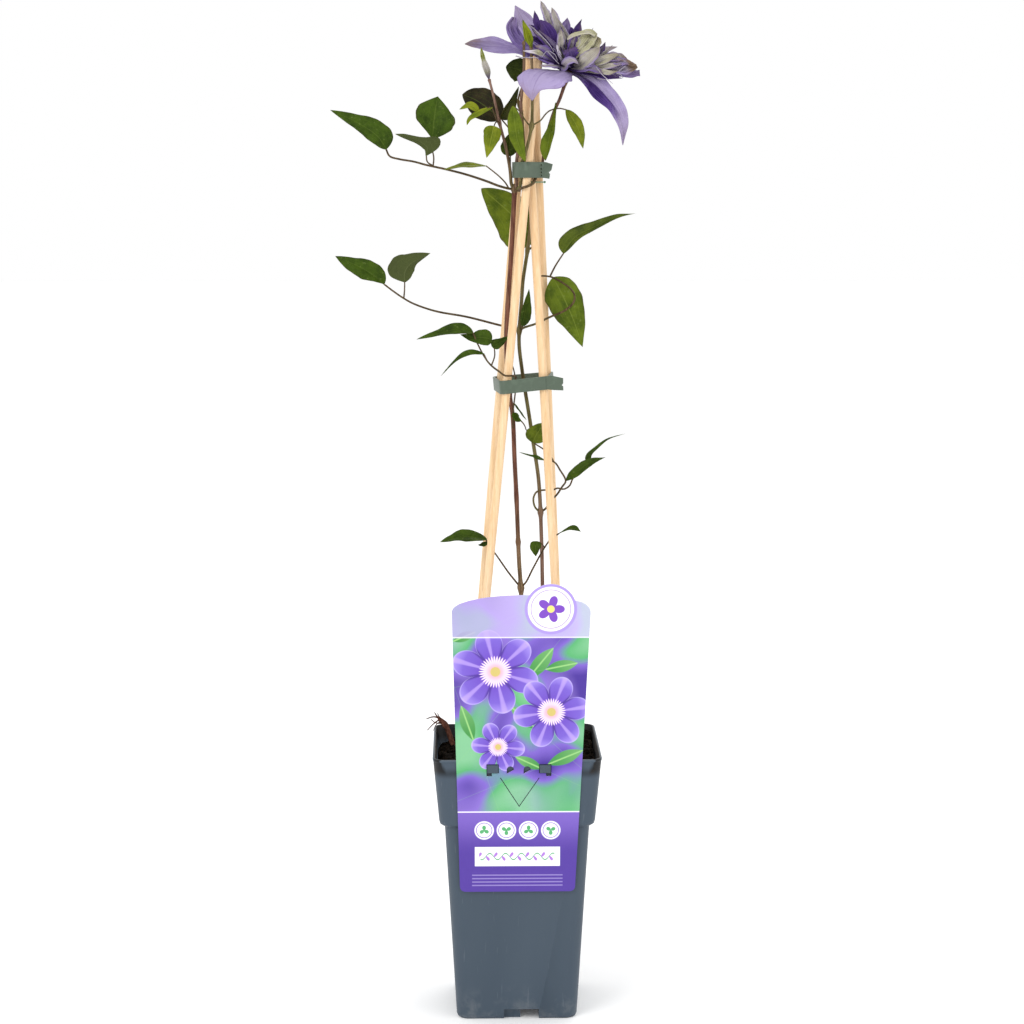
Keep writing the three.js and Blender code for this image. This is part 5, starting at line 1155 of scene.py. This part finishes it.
leafy(
    "leaf_left_middle",
    twig([MIDDLE_NODE, (0.7, 4, 502), (-1.2, 12, 502.3), (-4, 22, 503.2), (-8.9, 25.6, 503.8),
        (-14.8, 24.6, 505.3), (-35.4, 16, 511), (-58.6, 6, 515.8), (-74, 0, 521.4), (-81, -3, 525.4),
        (-88.7, -5, 530.8), (-95.4, -6, 536)], 0.85),
    leaf([(-95, -6, 535.6), (-104.6, -7.5, 543.4), (-116.2, -9, 550), (-129.8, -10, 556)], 9.4, right=8.6,
        face=(0.2, -0.9, 0.45), peak=(0.55, 0.3), wave=0.5),
    twig([(-81, -3, 525.4), (-80.4, -4, 531.4), (-80.2, -6, 538)], 0.6),
    leaf([(-80.2, -5.8, 537), (-79.6, -8.4, 545), (-74.4, -12, 551.4), (-61.5, -16, 558.2)], 6.5, right=13,
        face=UNDERSIDE_SHOWN, peak=(0.36, 0.32), wave=0.4),
)
leafy(
    "leaf_left_upper",
    twig([TOP_NODE, (-5.4, -1.2, 604), (-12.2, -3, 605.8), (-21.5, -5, 609.3), (-36, -8, 614),
        (-51, -10, 617.8), (-64, -12, 620.6), (-73, -12, 623), (-83.6, -13, 624.8), (-90.3, -13, 626.9),
        (-92.8, -14, 632)], 0.85),
    leaf([(-92.6, -14, 631.6), (-99, -15.5, 640.8), (-113, -17, 650.2), (-132, -18, 659.2)], 6.8, right=10.4,
        face=(0.1, -0.95, 0.35), peak=(0.42, 0.3), power=(0.9, 0.95), fold=0.2, wave=0.5),
    twig([(-59.3, -11.2, 620), (-63.4, -13, 622.8), (-64.2, -15, 627.6)], 0.6),
    leaf([(-64.2, -15, 627), (-63.6, -17, 632.6), (-69.4, -20, 637.6), (-78, -22.5, 640.8), (-85.8, -24, 642.2)],
        (0.4, 4.8, 11.5, 5, 2.4, 1.6, 1.2, 0.2), right=(0.4, 1.6, 3.2, 3.8, 3.6, 3.2, 2.2, 0.2),
        face=UNDERSIDE_SHOWN, fold=0.2),
    twig([(-59.3, -11.2, 620), (-58.9, -9, 626), (-60.2, -7.4, 633), (-60.2, -7, 640)], 0.6),
    leaf([(-60.2, -7, 638.4), (-58.6, -6.4, 653), (-55.8, -5, 669.2)], 14, right=15.5, face=(0, -1, 0.15),
        peak=(0.6, 0.46), power=(1, 1.05), fold=0.12, wave=0.7),
    twig([(-5.2, -1.2, 604.1), (-7.6, -3.4, 608), (-12.8, -6.4, 613.2), (-21.8, -12, 620.2)], 0.6, BROWN_PETIOLE),
    leaf([(-21.2, -11.8, 619.8), (-36.8, -14, 620), (-52.2, -16, 617.2)], 5.4, face=(0, -0.35, 0.94), peak=0.42,
        power=1.0, fold=0.15, tone=(0.5, 0.7, 0.1)),
)
leafy(
    "leaf_back",
    twig([(8.5, 4, 560), (10.8, 7.4, 561), (13.2, 11.6, 562.4), (15.6, 18, 564), (15, 22.6, 566.4)], 0.8),
    leaf([(15, 22.8, 566), (6, 25, 577), (-8, 26.4, 590), (-24.8, 27, 604)], 19.5, right=14.5, peak=(0.27, 0.5),
        power=(0.75, 0.8), fold=0.08, wave=0.4, tone=(0.85, 0.3, 0.08)),
)
leafy(
    "leaf_right",
    twig([MIDDLE_NODE, (6, 1, 504), (13.9, 2, 506.5), (24.8, 2, 511.6), (35.9, -4, 517), (41.6, -7, 523),
        (42, -6, 528), (39, -1.6, 532.5), (33.5, 3, 536.5), (27, 3.4, 540), (22, 1, 541.2), (17, 0, 541.3)], 0.8,
        (GREEN_PETIOLE, BROWN_PETIOLE, DARK_PETIOLE, DARK_PETIOLE)),
    leaf([(27, 4, 540.2), (34, 6, 527), (42, 6.5, 509), (48.6, 4, 489.6)], 13, right=14, face=(0.1, -0.98, 0.2),
        fold=0.1, wave=0.6, tone=(0.8, 0.22, 0.06)),
    twig([(24.6, 2.6, 540.6), (28.6, 3, 548.4), (34.9, 4, 558)], 0.65),
    leaf([(34.4, 4, 557.4), (42.4, 2, 568.4), (54.9, 0, 575.6), (73.3, 0, 584), (86.6, 2, 586.2)], 8, right=3.8,
        face=(-0.3, -0.85, 0.45), peak=(0.17, 0.3), power=(1.3, 1.1), fold=0.25, wave=0.3,
        tone=(0.75, 0.15, 0.35)),
)
leafy(
    "leaf_small_middle",
    twig([MIDDLE_NODE, (4.4, -2.8, 503), (4.6, -4, 506)], 0.7),
    leaf([(4.6, -4, 505), (6.6, -5.4, 517), (9.4, -6, 532.4)], 3, right=5, face=(0.1, -1, 0), fold=0.2),
)
leafy(
    "leaf_top_left",
    twig([LEAF_NODE, (8.2, -19.6, 649.4), (5.5, -20.8, 653), (2.4, -22, 658), (-2, -22, 661.6)], 0.6,
        (GREEN_PETIOLE, BROWN_PETIOLE)),
    leaf([(-2.6, -22, 662), (-1.4, -23.4, 650), (0.8, -23.2, 637), (6.4, -22, 622.6)], 5.8, peak=0.45, power=0.8,
        fold=0.3, wave=0.4, tone=(0.7, 0.3, 0)),
)
leafy(
    "leaf_top_right",
    twig([LEAF_NODE, (13.6, -18.2, 649.8), (16.7, -17.5, 651.5), (20.8, -16, 656.5), (24, -13.6, 659),
        (30.2, -11, 660.6), (35.4, -9, 659.8)], 0.6, (GREEN_PETIOLE, BROWN_PETIOLE, DARK_PETIOLE)),
    leaf([(28.2, -12, 664.6), (25.6, -13.4, 652), (23.8, -13.8, 641), (22.4, -13.4, 633), (20.9, -12.4, 623.6)],
        4.4, right=6, face=(-0.4, -0.9, 0), peak=(0.45, 0.7), power=(0.8, 1), fold=0.5, wave=0.4,
        tone=(0.6, 0.3, 0)),
    leaf([(35.2, -9, 660), (40.6, -10.4, 652.6), (45, -10.2, 644), (47.9, -8, 632.2)], 4.8, face=(0.1, -1, 0.1),
        peak=0.45, power=0.9, fold=0.25, wave=0.3, tone=(0.45, 0.8, 0.05)),
    slot="leaf_lime",
)
leafy(
    "leaf_top_lime",
    twig([(-11.2, -5, 649.8), (-13, -7.6, 651.2), (-14.6, -9, 650.8), (-15.9, -10.4, 648)], 0.55),
    leaf([(-16, -10.2, 648.2), (-18.2, -12.4, 638.4), (-21.2, -12, 625.6)], 6.6, face=(0.1, -1, 0.1), fold=0.2,
        wave=0.3, tone=LIME, **HEART),
    twig([(-13.4, -8, 651), (-15.4, -9.4, 656), (-17.8, -10.4, 661.2), (-22.4, -11.6, 660), (-27, -12, 658.4)],
        0.5),
    leaf([(-17, -10.4, 661.2), (-25.8, -13, 657.4), (-33.7, -13.6, 652.3), (-35.2, -13.6, 648.6)], 2.4,
        face=(-0.2, -0.9, 0.5), fold=0.3, tone=LIME),
    leaf([(-26.4, -11.8, 658.4), (-33, -12, 662.4), (-40.6, -12, 659.8)], 3.2, face=(0, -0.9, 0.5), fold=0.3,
        tone=LIME),
    slot="leaf_lime",
)
leafy(
    "leaf_top_dark",
    twig([(2.3, -7.6, 639), (-0.6, -5.2, 641.6), (-5.7, -1.4, 647.7), (-11, 1.4, 654)], 0.7),
    leaf([(-10.6, 1.6, 653), (-20, 5, 661), (-30, 8, 667.6), (-38.4, 9, 671)], 11, right=12, face=(0.1, -1, 0.2),
        peak=0.42, power=0.75, fold=0.1, wave=0.6, tone=(0.35, 0, 1)),
    leaf([(-10.8, 1, 653.4), (-5, -1.4, 663.6), (2, -5, 676.4)], 3, right=6.4, face=(0.5, -0.9, 0), fold=0.4,
        tone=(0.6, 0, 0.8), **HEART),
    slot="leaf_dark",
)
leafy(
    "leaf_behind_flower",
    twig([(3, 5, 660), (1.6, 9, 664), (3, 15, 672), (6, 20, 679), (10, 23, 684.4)], 0.7),
    leaf([(10, 23, 683.8), (3, 23.6, 689), (-6.8, 23, 691.4)], 9, right=8.4, peak=0.5, power=0.7, fold=0.08,
        wave=0.4, tone=(0.2, 0, 0.4)),
    slot="leaf_dark",
)
leafy(
    "leaf_above_clip",
    twig([TOP_NODE, (-3.2, 3, 606), (-4, 3.6, 612), (-4, 3.6, 621), (-4, 3.4, 628)], 0.65),
    leaf([(-4, 3.4, 627), (-4.6, 4.2, 635), (-1, 4, 646)], 6.4, fold=0.15, tone=(0.4, 0.1, 0.1)),
    slot="leaf_dark",
)


# Bloom

BLOOM = np.array([37.5, -1, 688.0])
BLOOM_AXIS = unit(np.array([0.38, -0.1, 0.92]))
PETAL_ROOT = np.array([36.5, -1, 687.0])


def tepal(spine, left, tone, **more):
    """One of the broad outer petals."""
    shape = {
        "peak": 0.52, "power": 0.85, "veins": 0.2, "arch": 1.2, "size": (84, 64), "thick": 0.5, "pleat": 0.35,
        "ragged": 0.02, "crumple": 0.9,
    }
    return blade(spine, left, **{**shape, "tone": tone, **more}), 0


tepals = [
    # to the left, level
    tepal([(36.5, -0.5, 687), (23.9, 3, 695.2), (11.2, 6, 699.4), (0.3, 9, 702.9), (-9.8, 10, 704.6),
        (-19.8, 10, 705.3), (-29.9, 9, 706.7), (-36.5, 8, 706.7)], (2, 5, 4.6, 4, 5.2, 6.6, 3.6, 0.3),
        ((0.6, 0, 0.3), (0.3, 0, 0.2), (0.15, 0.1, 0.3), (0.25, 0.2, 0.9)), face=(0, -0.9, 0.45), fold=0.25,
        wave=1.0, waves=3, seed=1, crumple=1.6),
    # up to the left, the highest
    tepal([(36.5, 0, 687), (27.6, 5, 695.3), (20.5, 10, 702.8), (12.4, 15, 713.9), (5.1, 17, 723.9),
        (-0.3, 17, 734.4)], (2, 4, 6, 8.4, 7.2, 0.3), ((0.7, 0, 0.3), (0.2, 0.1, 0.3), (0, 0.1, 0.2),
        (0, 0.1, 0.2)), right=(2, 4, 6, 8.4, 7.6, 0.3), face=(0.35, -0.9, 0.3), fold=0.2, wave=0.6, seed=2),
    # up to the left, before it
    tepal([(36.5, 0, 686.6), (24, 4, 695.3), (13.1, 8, 702.2), (1.3, 12, 710.5), (-2.8, 12, 718.2),
        (-1.1, 12, 725.9)], (2, 4, 5.4, 6, 5, 1.6), ((0.8, 0, 0), (0.6, 0, 0), (0.45, 0, 0.1), (0.35, 0.1, 0.2)),
        face=(0.3, -0.9, 0.3), fold=0.2, wave=0.6, seed=3),
    # towards the viewer, hanging at its tip
    tepal([(37, -1.6, 686.6), (28, -14, 687), (17.5, -28, 683.4), (12, -37, 675), (10.4, -41, 665.1)],
        (3, 15, 20, 7, 0.3), (0, 0.06, 0.3), right=(3, 13, 19, 11, 0.3), face=(0, -0.1, 1),
        tip_face=(-0.2, -1, 0.3), fold=-0.2, wave=1.4, waves=2.5, seed=4),
    # to the right, hanging
    tepal([(38, -1, 686.6), (41.9, -4, 685.5), (50.5, -8, 680.8), (60.8, -11, 672), (69.8, -11, 661.4),
        (75.2, -9, 649), (76.3, -6, 634.8)], (3, 6, 8.6, 8.4, 7.6, 6, 0.3), (0.06, 0.06, 0.3),
        right=(2, 3, 6, 9, 7, 3.6, 0.3), right_tone=((0.1, 0.1, 0), (0.2, 0.1, 0), (0.85, 0, 0), (0.85, 0, 0),
        (0.1, 0.15, 0.2), (0, 0.15, 0.2)), face=(0.2, -0.9, 0.5), tip_face=(0.5, -0.85, 0.2), fold=0.3, wave=1.0,
        waves=3, seed=5),
    # to the right, level
    tepal([(38, -0.5, 687), (47.1, 1, 685.5), (58.9, 4, 684.9), (70.7, 7, 684.6), (82.5, 8, 685.4),
        (89.2, 8, 685.5)], (2, 4, 5, 6.4, 6, 4), (0.42, 0.05, 0.2), face=(0, -0.6, 0.8), fold=0.25, wave=0.8,
        waves=3, seed=6),
    # to the back
    tepal([(38, 0, 687), (42, 20, 694), (46, 38, 697), (48, 54, 694)], 17, (0.2, 0.3, 0.6), face=(0, 0, 1),
        tip_face=(0, 0.8, 0.5), fold=0.15, wave=1.2, waves=3, seed=7),
    # to the back right
    tepal([(38, 0, 686.6), (57, 18, 692), (72, 31, 693), (83, 42, 691)], 14, (0.25, 0.3, 0.7), face=(0, 0, 1),
        tip_face=(0.6, 0.5, 0.6), fold=0.2, wave=1.0, waves=3, seed=8),
    (knot((37.5, -1, 685.4), 3.8, 0.9, (0.4, 0.25, 0.12))[0], 1),
]
make_piece("bloom_outer_tepals", ["bloom_tepals"], tepals, [petal_look, stem_look])


def petal(offsets, half, tone, face=(0.2, 0.3, 0.9), seed=0, **more):
    """One inner petal. Its midrib is given as offsets from the bloom's heart."""
    spine = [PETAL_ROOT + (0.4, 0, 2)] + [PETAL_ROOT + offset for offset in offsets]
    shape = {
        "peak": 0.5, "power": 0.9, "veins": 0.12, "arch": 0.8, "fold": 0.3, "wave": 0.35, "pleat": 0.2,
        "size": (44, 36), "thick": 0.42, "base_half": 0.8, "ragged": 0.03, "crumple": 0.4,
    }
    return blade(spine, half, **{**shape, "tone": tone, "face": face, "seed": seed, **more}), 0


# A petal's tone holds how violet, how silver-green and how tan it is.
DEEP = (0.85, 0.0, 0.15)
VIOLET = (0.6, 0.15, 0.3)
SILVER = (0.1, 0.72, 0.3)
SOFT = (0.3, 0.3, 0.5)
PALE = (0.05, 0.6, 0.6)
TAN = (0.25, 0.4, 1.0)
HOOD = (0.02, 1.0, 0.2)
CUPPED = (0.3, 0.75, 0.3)
STRIPED = (0.3, 0.9, 0.4)
WHITE = (0.0, 1.7, 0.0)

crowd = [
    petal([(-11.1, -3, 17.7), (-18.9, -4, 27.3), (-22.1, -4, 34.6), (-23.4, -3, 42.5)], (1, 2.2, 3.2, 2.9, 0.1),
        DEEP, (0.3, -1, 0.2)),
    petal([(-8.8, -7, 15.9), (-11.7, -8, 23.5), (-15.4, -8, 30.3), (-19.4, -7, 35.8)], (1, 3.4, 5, 4.6, 0.3),
        DEEP, (-0.3, -1, 0.3), right=(1, 4.2, 5.4, 4.4, 0.3)),
    petal([(-10.9, 3, 30.2), (-14.8, 3, 39.4), (-17.1, 3, 45.1), (-18.8, 3, 49.8)], (1, 2.6, 3.2, 2.4, 0.1),
        SILVER, (0.3, -0.9, 0.1)),
    petal([(-6, 1, 26), (-7.6, 1, 34.1), (-9.2, 2, 39.8), (-11, 3, 45.2)], (1, 2.6, 3.1, 2.7, 0.1), SILVER,
        (-0.2, -0.95, 0.2)),
    petal([(-1.7, 7, 25.6), (-0.5, 8, 32.5), (0.5, 9, 38.3)], (1, 3.2, 3.6, 0.1), (0.42, 0.1, 0.2),
        (0.2, -1, 0.2)),
    petal([(1.1, 5, 18.2), (4.9, 8, 24.8), (7.8, 9, 31), (10.9, 9, 37.4)], (1, 2.8, 2.8, 2.2, 0.1), DEEP,
        (-0.4, -0.9, 0.2)),
    petal([(-0.2, 4, 18.1), (2.3, 5, 24.7), (3.3, 5, 29.5), (2.9, 5, 31.5)], (1, 2.6, 2.6, 1.8, 0.2), DEEP,
        (0.2, -0.9, 0.2)),
    petal([(-5.2, -9, 16.6), (-5.3, -11, 22.9), (-4.8, -11, 29.1)], (1, 2.8, 3, 0.2), CUPPED, (0.3, -1, 0.2)),
    petal([(-6.5, -13, 12.4), (-8, -14, 18.1)], (0.4, 1.1, 0.1), WHITE, (0.3, -1, 0.2)),
    petal([(3.4, -9, 7.6), (2.4, -12, 10.8), (1.6, -13, 13.4), (1, -13, 15.2)], (1, 2.6, 4.6, 6.2, 4.8),
        (0.72, 0.05, 0.2), (0.1, -1, 0.3), fold=0.5, ragged=0.12),
    petal([(1.9, -7, 13.5), (2.8, -9, 19), (5, -9, 23.9)], (1, 3.2, 3.2, 1.2), (0.6, 0.5, 0.2), (0.4, -0.9, 0.3)),
    petal([(5.8, -10, 11), (10.6, -12, 15.9), (15, -13, 21.2), (18.9, -12, 26.5)], (1, 3.4, 6, 7, 4), HOOD,
        (-0.2, -1, 0.35), right=(1, 2.6, 4.6, 5.6, 3), arch=1.4, wave=0.7, ragged=0.06),
    petal([(7.4, -8, 9), (13, -10, 14.6), (18, -11, 19.4), (21, -11, 24)], (1, 4, 6.4, 6.6, 4), (0.1, 1, 0.5),
        (-0.1, -1, 0.3), wave=0.8, ragged=0.07),
    petal([(13.4, -13, 18.8), (19, -14, 24.4), (15.7, -15.5, 26.1), (9.1, -17, 25.6), (3, -18, 23.9),
        (-0.6, -18, 21.4)], (0.6, 2, 2.6, 2.6, 2.2, 1.7, 0.8), HOOD, (0, -0.7, 0.7), arch=0.9),
    petal([(9.5, -11, 3.3), (13.4, -14, 7.2), (18.4, -15, 11.7), (22, -14, 15.8)], (1.2, 4.6, 6.2, 5, 1.4),
        CUPPED, (-0.2, -1, 0.4), arch=1.2),
    petal([(-2, -13, 2), (0.4, -17, 5.6), (3.8, -18, 6.4), (7.5, -18, 4.2)], (1.6, 4.6, 4.4, 2.6, 0.1),
        (0.25, 0.55, 0.2), (-0.1, -0.9, 0.5), right=(1.4, 3.4, 3.2, 1.8, 0.1), arch=1),
    petal([(18, -3, 7.1), (22.6, -4, 12.3), (25.3, -4, 16.1), (27.1, -4, 20.5)], (1, 2.6, 2.8, 2.2, 0.1),
        (0.75, 0.3, 0.2), (-0.3, -1, 0.3)),
    petal([(19.4, -6, 5.4), (25.2, -7, 10.7), (29, -7, 14.5), (32.1, -7, 18.2)], (1, 2.2, 2.2, 1.2, 0.1), SILVER,
        (-0.3, -1, 0.4)),
    petal([(13.9, -8, 3), (21.5, -11, 5.5), (28.3, -12, 8.3), (35.7, -11, 11.4)], (1, 3.2, 4, 3.6, 1), STRIPED,
        (-0.2, -0.9, 0.6)),
    petal([(18.2, -1, 3.3), (29.8, -1, 7.2), (37.5, -1, 7.2), (43.7, -1, 4.9), (49.2, -1, 3.7)],
        (1.4, 4, 5.4, 4.6, 3.2, 1), TAN, (0.1, -0.7, 0.8), pleat=0.9, crumple=1.1, ragged=0.06),
    petal([(20, -7, 4.4), (29, -9, 8.2), (37, -10, 9), (42.4, -10, 6.4)], (1, 3, 4, 3.4, 1), (0.3, 0.7, 1),
        (0, -0.9, 0.6), pleat=0.9, crumple=1.0, ragged=0.08),
    petal([(24, -8, 2.4), (33, -10, 5.4), (40, -11, 6), (46, -10, 4.2)], (1, 2.4, 3, 2.8, 1), (0.35, 0.5, 1),
        (0, -0.9, 0.6), pleat=0.9, crumple=1.0, ragged=0.08),
    petal([(16.2, -10, 1.4), (25.3, -12, 2.1), (32.9, -13, 3.6), (40, -13, 5.1)], (1, 2.4, 2.8, 2.2, 0.1), CUPPED,
        (0, -0.9, 0.6)),
    petal([(13.8, -11, 0.2), (23.7, -14, -1.2), (29.8, -15, -1.7), (35.3, -15, -0.5)], (0.8, 2, 2.2, 1.8, 0.2),
        STRIPED, (0, -0.9, 0.5)),
    petal([(25.6, -6, 0.8), (35.6, -8, 0.7), (42.5, -9, 0.7), (49.4, -8, 3.4)], (1.2, 3.2, 4.2, 4.4, 1.6), TAN,
        (0.1, -0.9, 0.5), pleat=0.8, crumple=1.1),
    petal([(9.1, -12, 0.5), (15.9, -16, 1.1), (21.2, -17, -0.4), (25, -17, -2.9)], (1.2, 3, 3.4, 2.4, 0.2),
        (0.5, 0.35, 0.4), (0, -0.8, 0.6)),
    # A near-black violet petal low under the crowd stands for the shadow there: painted shade.
    petal([(10, -9, -0.8), (19.2, -11, -2.8), (29.2, -11, -4.7), (39, -10, -5.2)], (0.8, 1.8, 2.2, 1.8, 0.2),
        DEEP, (0, -0.9, 0.5)),
    petal([(10.7, -11, 2.5), (14.4, -15, 3.8), (17.4, -16, 4.2), (19.7, -16, 2.3)], (1, 2.4, 2.8, 1.8, 0.1), SOFT,
        (-0.2, -0.9, 0.5)),
    petal([(-12.2, -12, 7.2), (-18, -16, 10.4), (-22.9, -17, 12.4), (-27.8, -17, 13), (-32, -17, 13.6)],
        (0.8, 1.6, 1.9, 2.1, 1, 0.1), ((0.9, 0, 0.2), (0.7, 0.3, 0.2), (0.2, 0.9, 0.2), WHITE, WHITE),
        (0, -0.9, 0.5)),
    petal([(-11.3, -10, 9.7), (-15.5, -13, 14), (-19.6, -14, 15.9), (-23.5, -14, 17.2)], (1, 2.8, 3.2, 2.4, 0.2),
        ((0.8, 0.2, 0.3), (0.45, 0.4, 0.6)), (0.1, -0.9, 0.5)),
    petal([(-9.7, -10, 4.5), (-14.7, -13, 6.8), (-19.2, -13, 8.8), (-24, -12, 10.8)], (1, 3, 3.4, 2.6, 0.2),
        VIOLET, (0, -0.8, 0.6)),
    petal([(-10.4, -6, 14.4), (-16.2, -8, 20.7), (-21.1, -8, 25.5), (-25.1, -7, 28.7)], (1, 2.8, 3.2, 2.4, 0.2),
        (0.75, 0.45, 0.3), (0.3, -0.9, 0.3)),
    petal([(-11.9, -2, 17.8), (-18.4, -2, 25.8), (-23.4, -2, 29.9), (-27.4, -2, 32.9)], (1, 2.6, 3, 2, 0.1), DEEP,
        (0.3, -0.9, 0.2)),
    petal([(-11.1, -4, 14.5), (-17.7, -6, 19.2), (-23.9, -6, 22.4), (-28.3, -5, 24)], (1, 2.6, 3, 2.2, 0.2), DEEP,
        (0.2, -0.9, 0.4)),
    petal([(-9, -13, 2.8), (-14.8, -18, 2.9), (-20.4, -19, 3.3)], (0.8, 1.6, 1.4, 0.1), PALE, (0, -0.9, 0.5)),
]

# The rest of the crowd: rings behind, and lower ones at both sides.
PETAL_RINGS = (  # count, first and last bearing, elevation, length, half width
    (5, 20, 165, 18, 41, 6.6),
    (5, 15, 160, 38, 38, 6.2),
    (4, 60, 160, 56, 34, 5.6),
    (3, -30, 60, 12, 37, 6.4),
    (3, 0, 60, 30, 36, 6),
    (3, 150, 215, 24, 37, 5.2),
    (2, 150, 210, 48, 36, 4.8),
    (2, 30, 150, 74, 32, 4.8),
)
RING_TONES = (DEEP, VIOLET, VIOLET, SOFT, SILVER, (0.45, 0.3, 0.7), (0.7, 0.1, 0.4))
SIDE_WAY = unit(np.cross((0, 1, 0), BLOOM_AXIS))
BACK_WAY = np.cross(BLOOM_AXIS, SIDE_WAY)
ASTRAY = 7  # degrees
BEND, BEND_MORE = 14, 12  # degrees


def ring_petal(bearing, elevation, length, half, draw):
    """A petal of a ring. Its midrib leaves the heart at a bearing and an elevation and bends in three equal
    steps. How far it strays, its width, tone and folds are drawn at random."""
    bearing = math.radians(bearing + draw.uniform(-ASTRAY, ASTRAY))
    rise = math.radians(elevation + draw.uniform(-ASTRAY, ASTRAY))
    bend = math.radians(BEND + draw.uniform(-BEND_MORE, BEND_MORE))
    radial = math.cos(bearing) * SIDE_WAY + math.sin(bearing) * BACK_WAY
    step = length * draw.uniform(0.86, 1.1) / 3
    line = [radial * 3 + BLOOM_AXIS * 3]
    for angle in (rise + bend, rise, rise - 0.6 * bend):
        line.append(line[-1] + step * (BLOOM_AXIS * math.sin(angle) + radial * math.cos(angle)))
    aside = 0.45 * draw.uniform(-1, 1) * np.cross(BLOOM_AXIS, radial)
    face = tuple(BLOOM_AXIS * math.cos(rise) - radial * math.sin(rise) + aside)
    width = half * draw.uniform(0.8, 1.15)
    tone = RING_TONES[draw.integers(len(RING_TONES))]
    seed = int(draw.integers(1000))
    folds = {"fold": draw.uniform(0.15, 0.55), "wave": draw.uniform(0.2, 0.7)}
    return petal(line, width, tone, face, seed, size=(32, 24), **folds)


draw = np.random.default_rng(21)
for count, first, last, elevation, length, half in PETAL_RINGS:
    for i in range(count):
        bearing = first + (last - first) * (i + 0.5) / count
        crowd.append(ring_petal(bearing, elevation, length, half, draw))

# Thin pale filaments with hair tips.
FILAMENTS = (
    ((-18.5, -17.5, 9.2), (-14.9, -18.5, 13.5), (-13.3, -18.5, 12.9)),
    ((-14.9, -18.6, 13.5), (-10.8, -18, 8.9), (-6.2, -15, 4.3)),
    ((-13.2, -18, 13.5), (-9.1, -17, 10.6), (-7.4, -14, 6.7)),
    ((-37.1, -16, 10), (-33.1, -17.5, 8.9), (-27.8, -17.5, 8.9), (-20.5, -17, 8.6)),
    ((-27.6, -7, 32.4), (-21.1, -10, 26.6), (-14.6, -11, 20.1), (-9.7, -10, 13.4)),
    ((5.5, -16.5, 25.1), (8.3, -17, 21.4), (8.1, -16.5, 18.6), (6.4, -15, 15.9)),
    ((19.6, -17.5, 2.6), (24.2, -19, -3.2), (31.7, -19, -9.4)),
    ((35.8, -16.5, -0.8), (38.5, -16.5, 1.5), (41.1, -15, 3.3)),
    ((34.3, -16.5, -2.1), (36.9, -17.5, -2.7), (39.2, -17.5, -5.5)),
    ((20.9, -15, -5.6), (23.6, -15, -6), (27.1, -14.5, -6.4)),
)
for points in FILAMENTS:
    crowd.append((tube(PETAL_ROOT + points, 0.42, 8, 1.2, ribs=0, tone=WHITE, end_radius=0.2), 0))
# A near-black violet ball at the bloom's heart: painted shade between the petals' feet.
crowd.append(knot(BLOOM + 2 * BLOOM_AXIS, 4, 0.9, (1.0, 0.0, 0.0), BLOOM_AXIS))
make_piece("bloom_inner_petal_crowd", ["bloom_inner_petals"], crowd, [petal_look])


# Floor

FLOOR_HALF = 14.0

floor_mesh = bpy.data.meshes.new("studio_floor")
floor_corners = [(x * FLOOR_HALF, y * FLOOR_HALF, 0) for x, y in ((-1, -1), (1, -1), (1, 1), (-1, 1))]
floor_mesh.from_pydata(floor_corners, [], [(0, 1, 2, 3)])
floor_look = Look("studio_floor")
floor_look.colour = (0.96, 0.96, 0.96)
glow = {"Emission_Color": (1.0, 1.0, 1.0), "Emission_Strength": 0.05}
floor_mesh.materials.append(floor_look.finish(0.85, 0.1, **glow))
floor = bpy.data.objects.new("studio_floor", floor_mesh)
scene.collection.objects.link(floor)
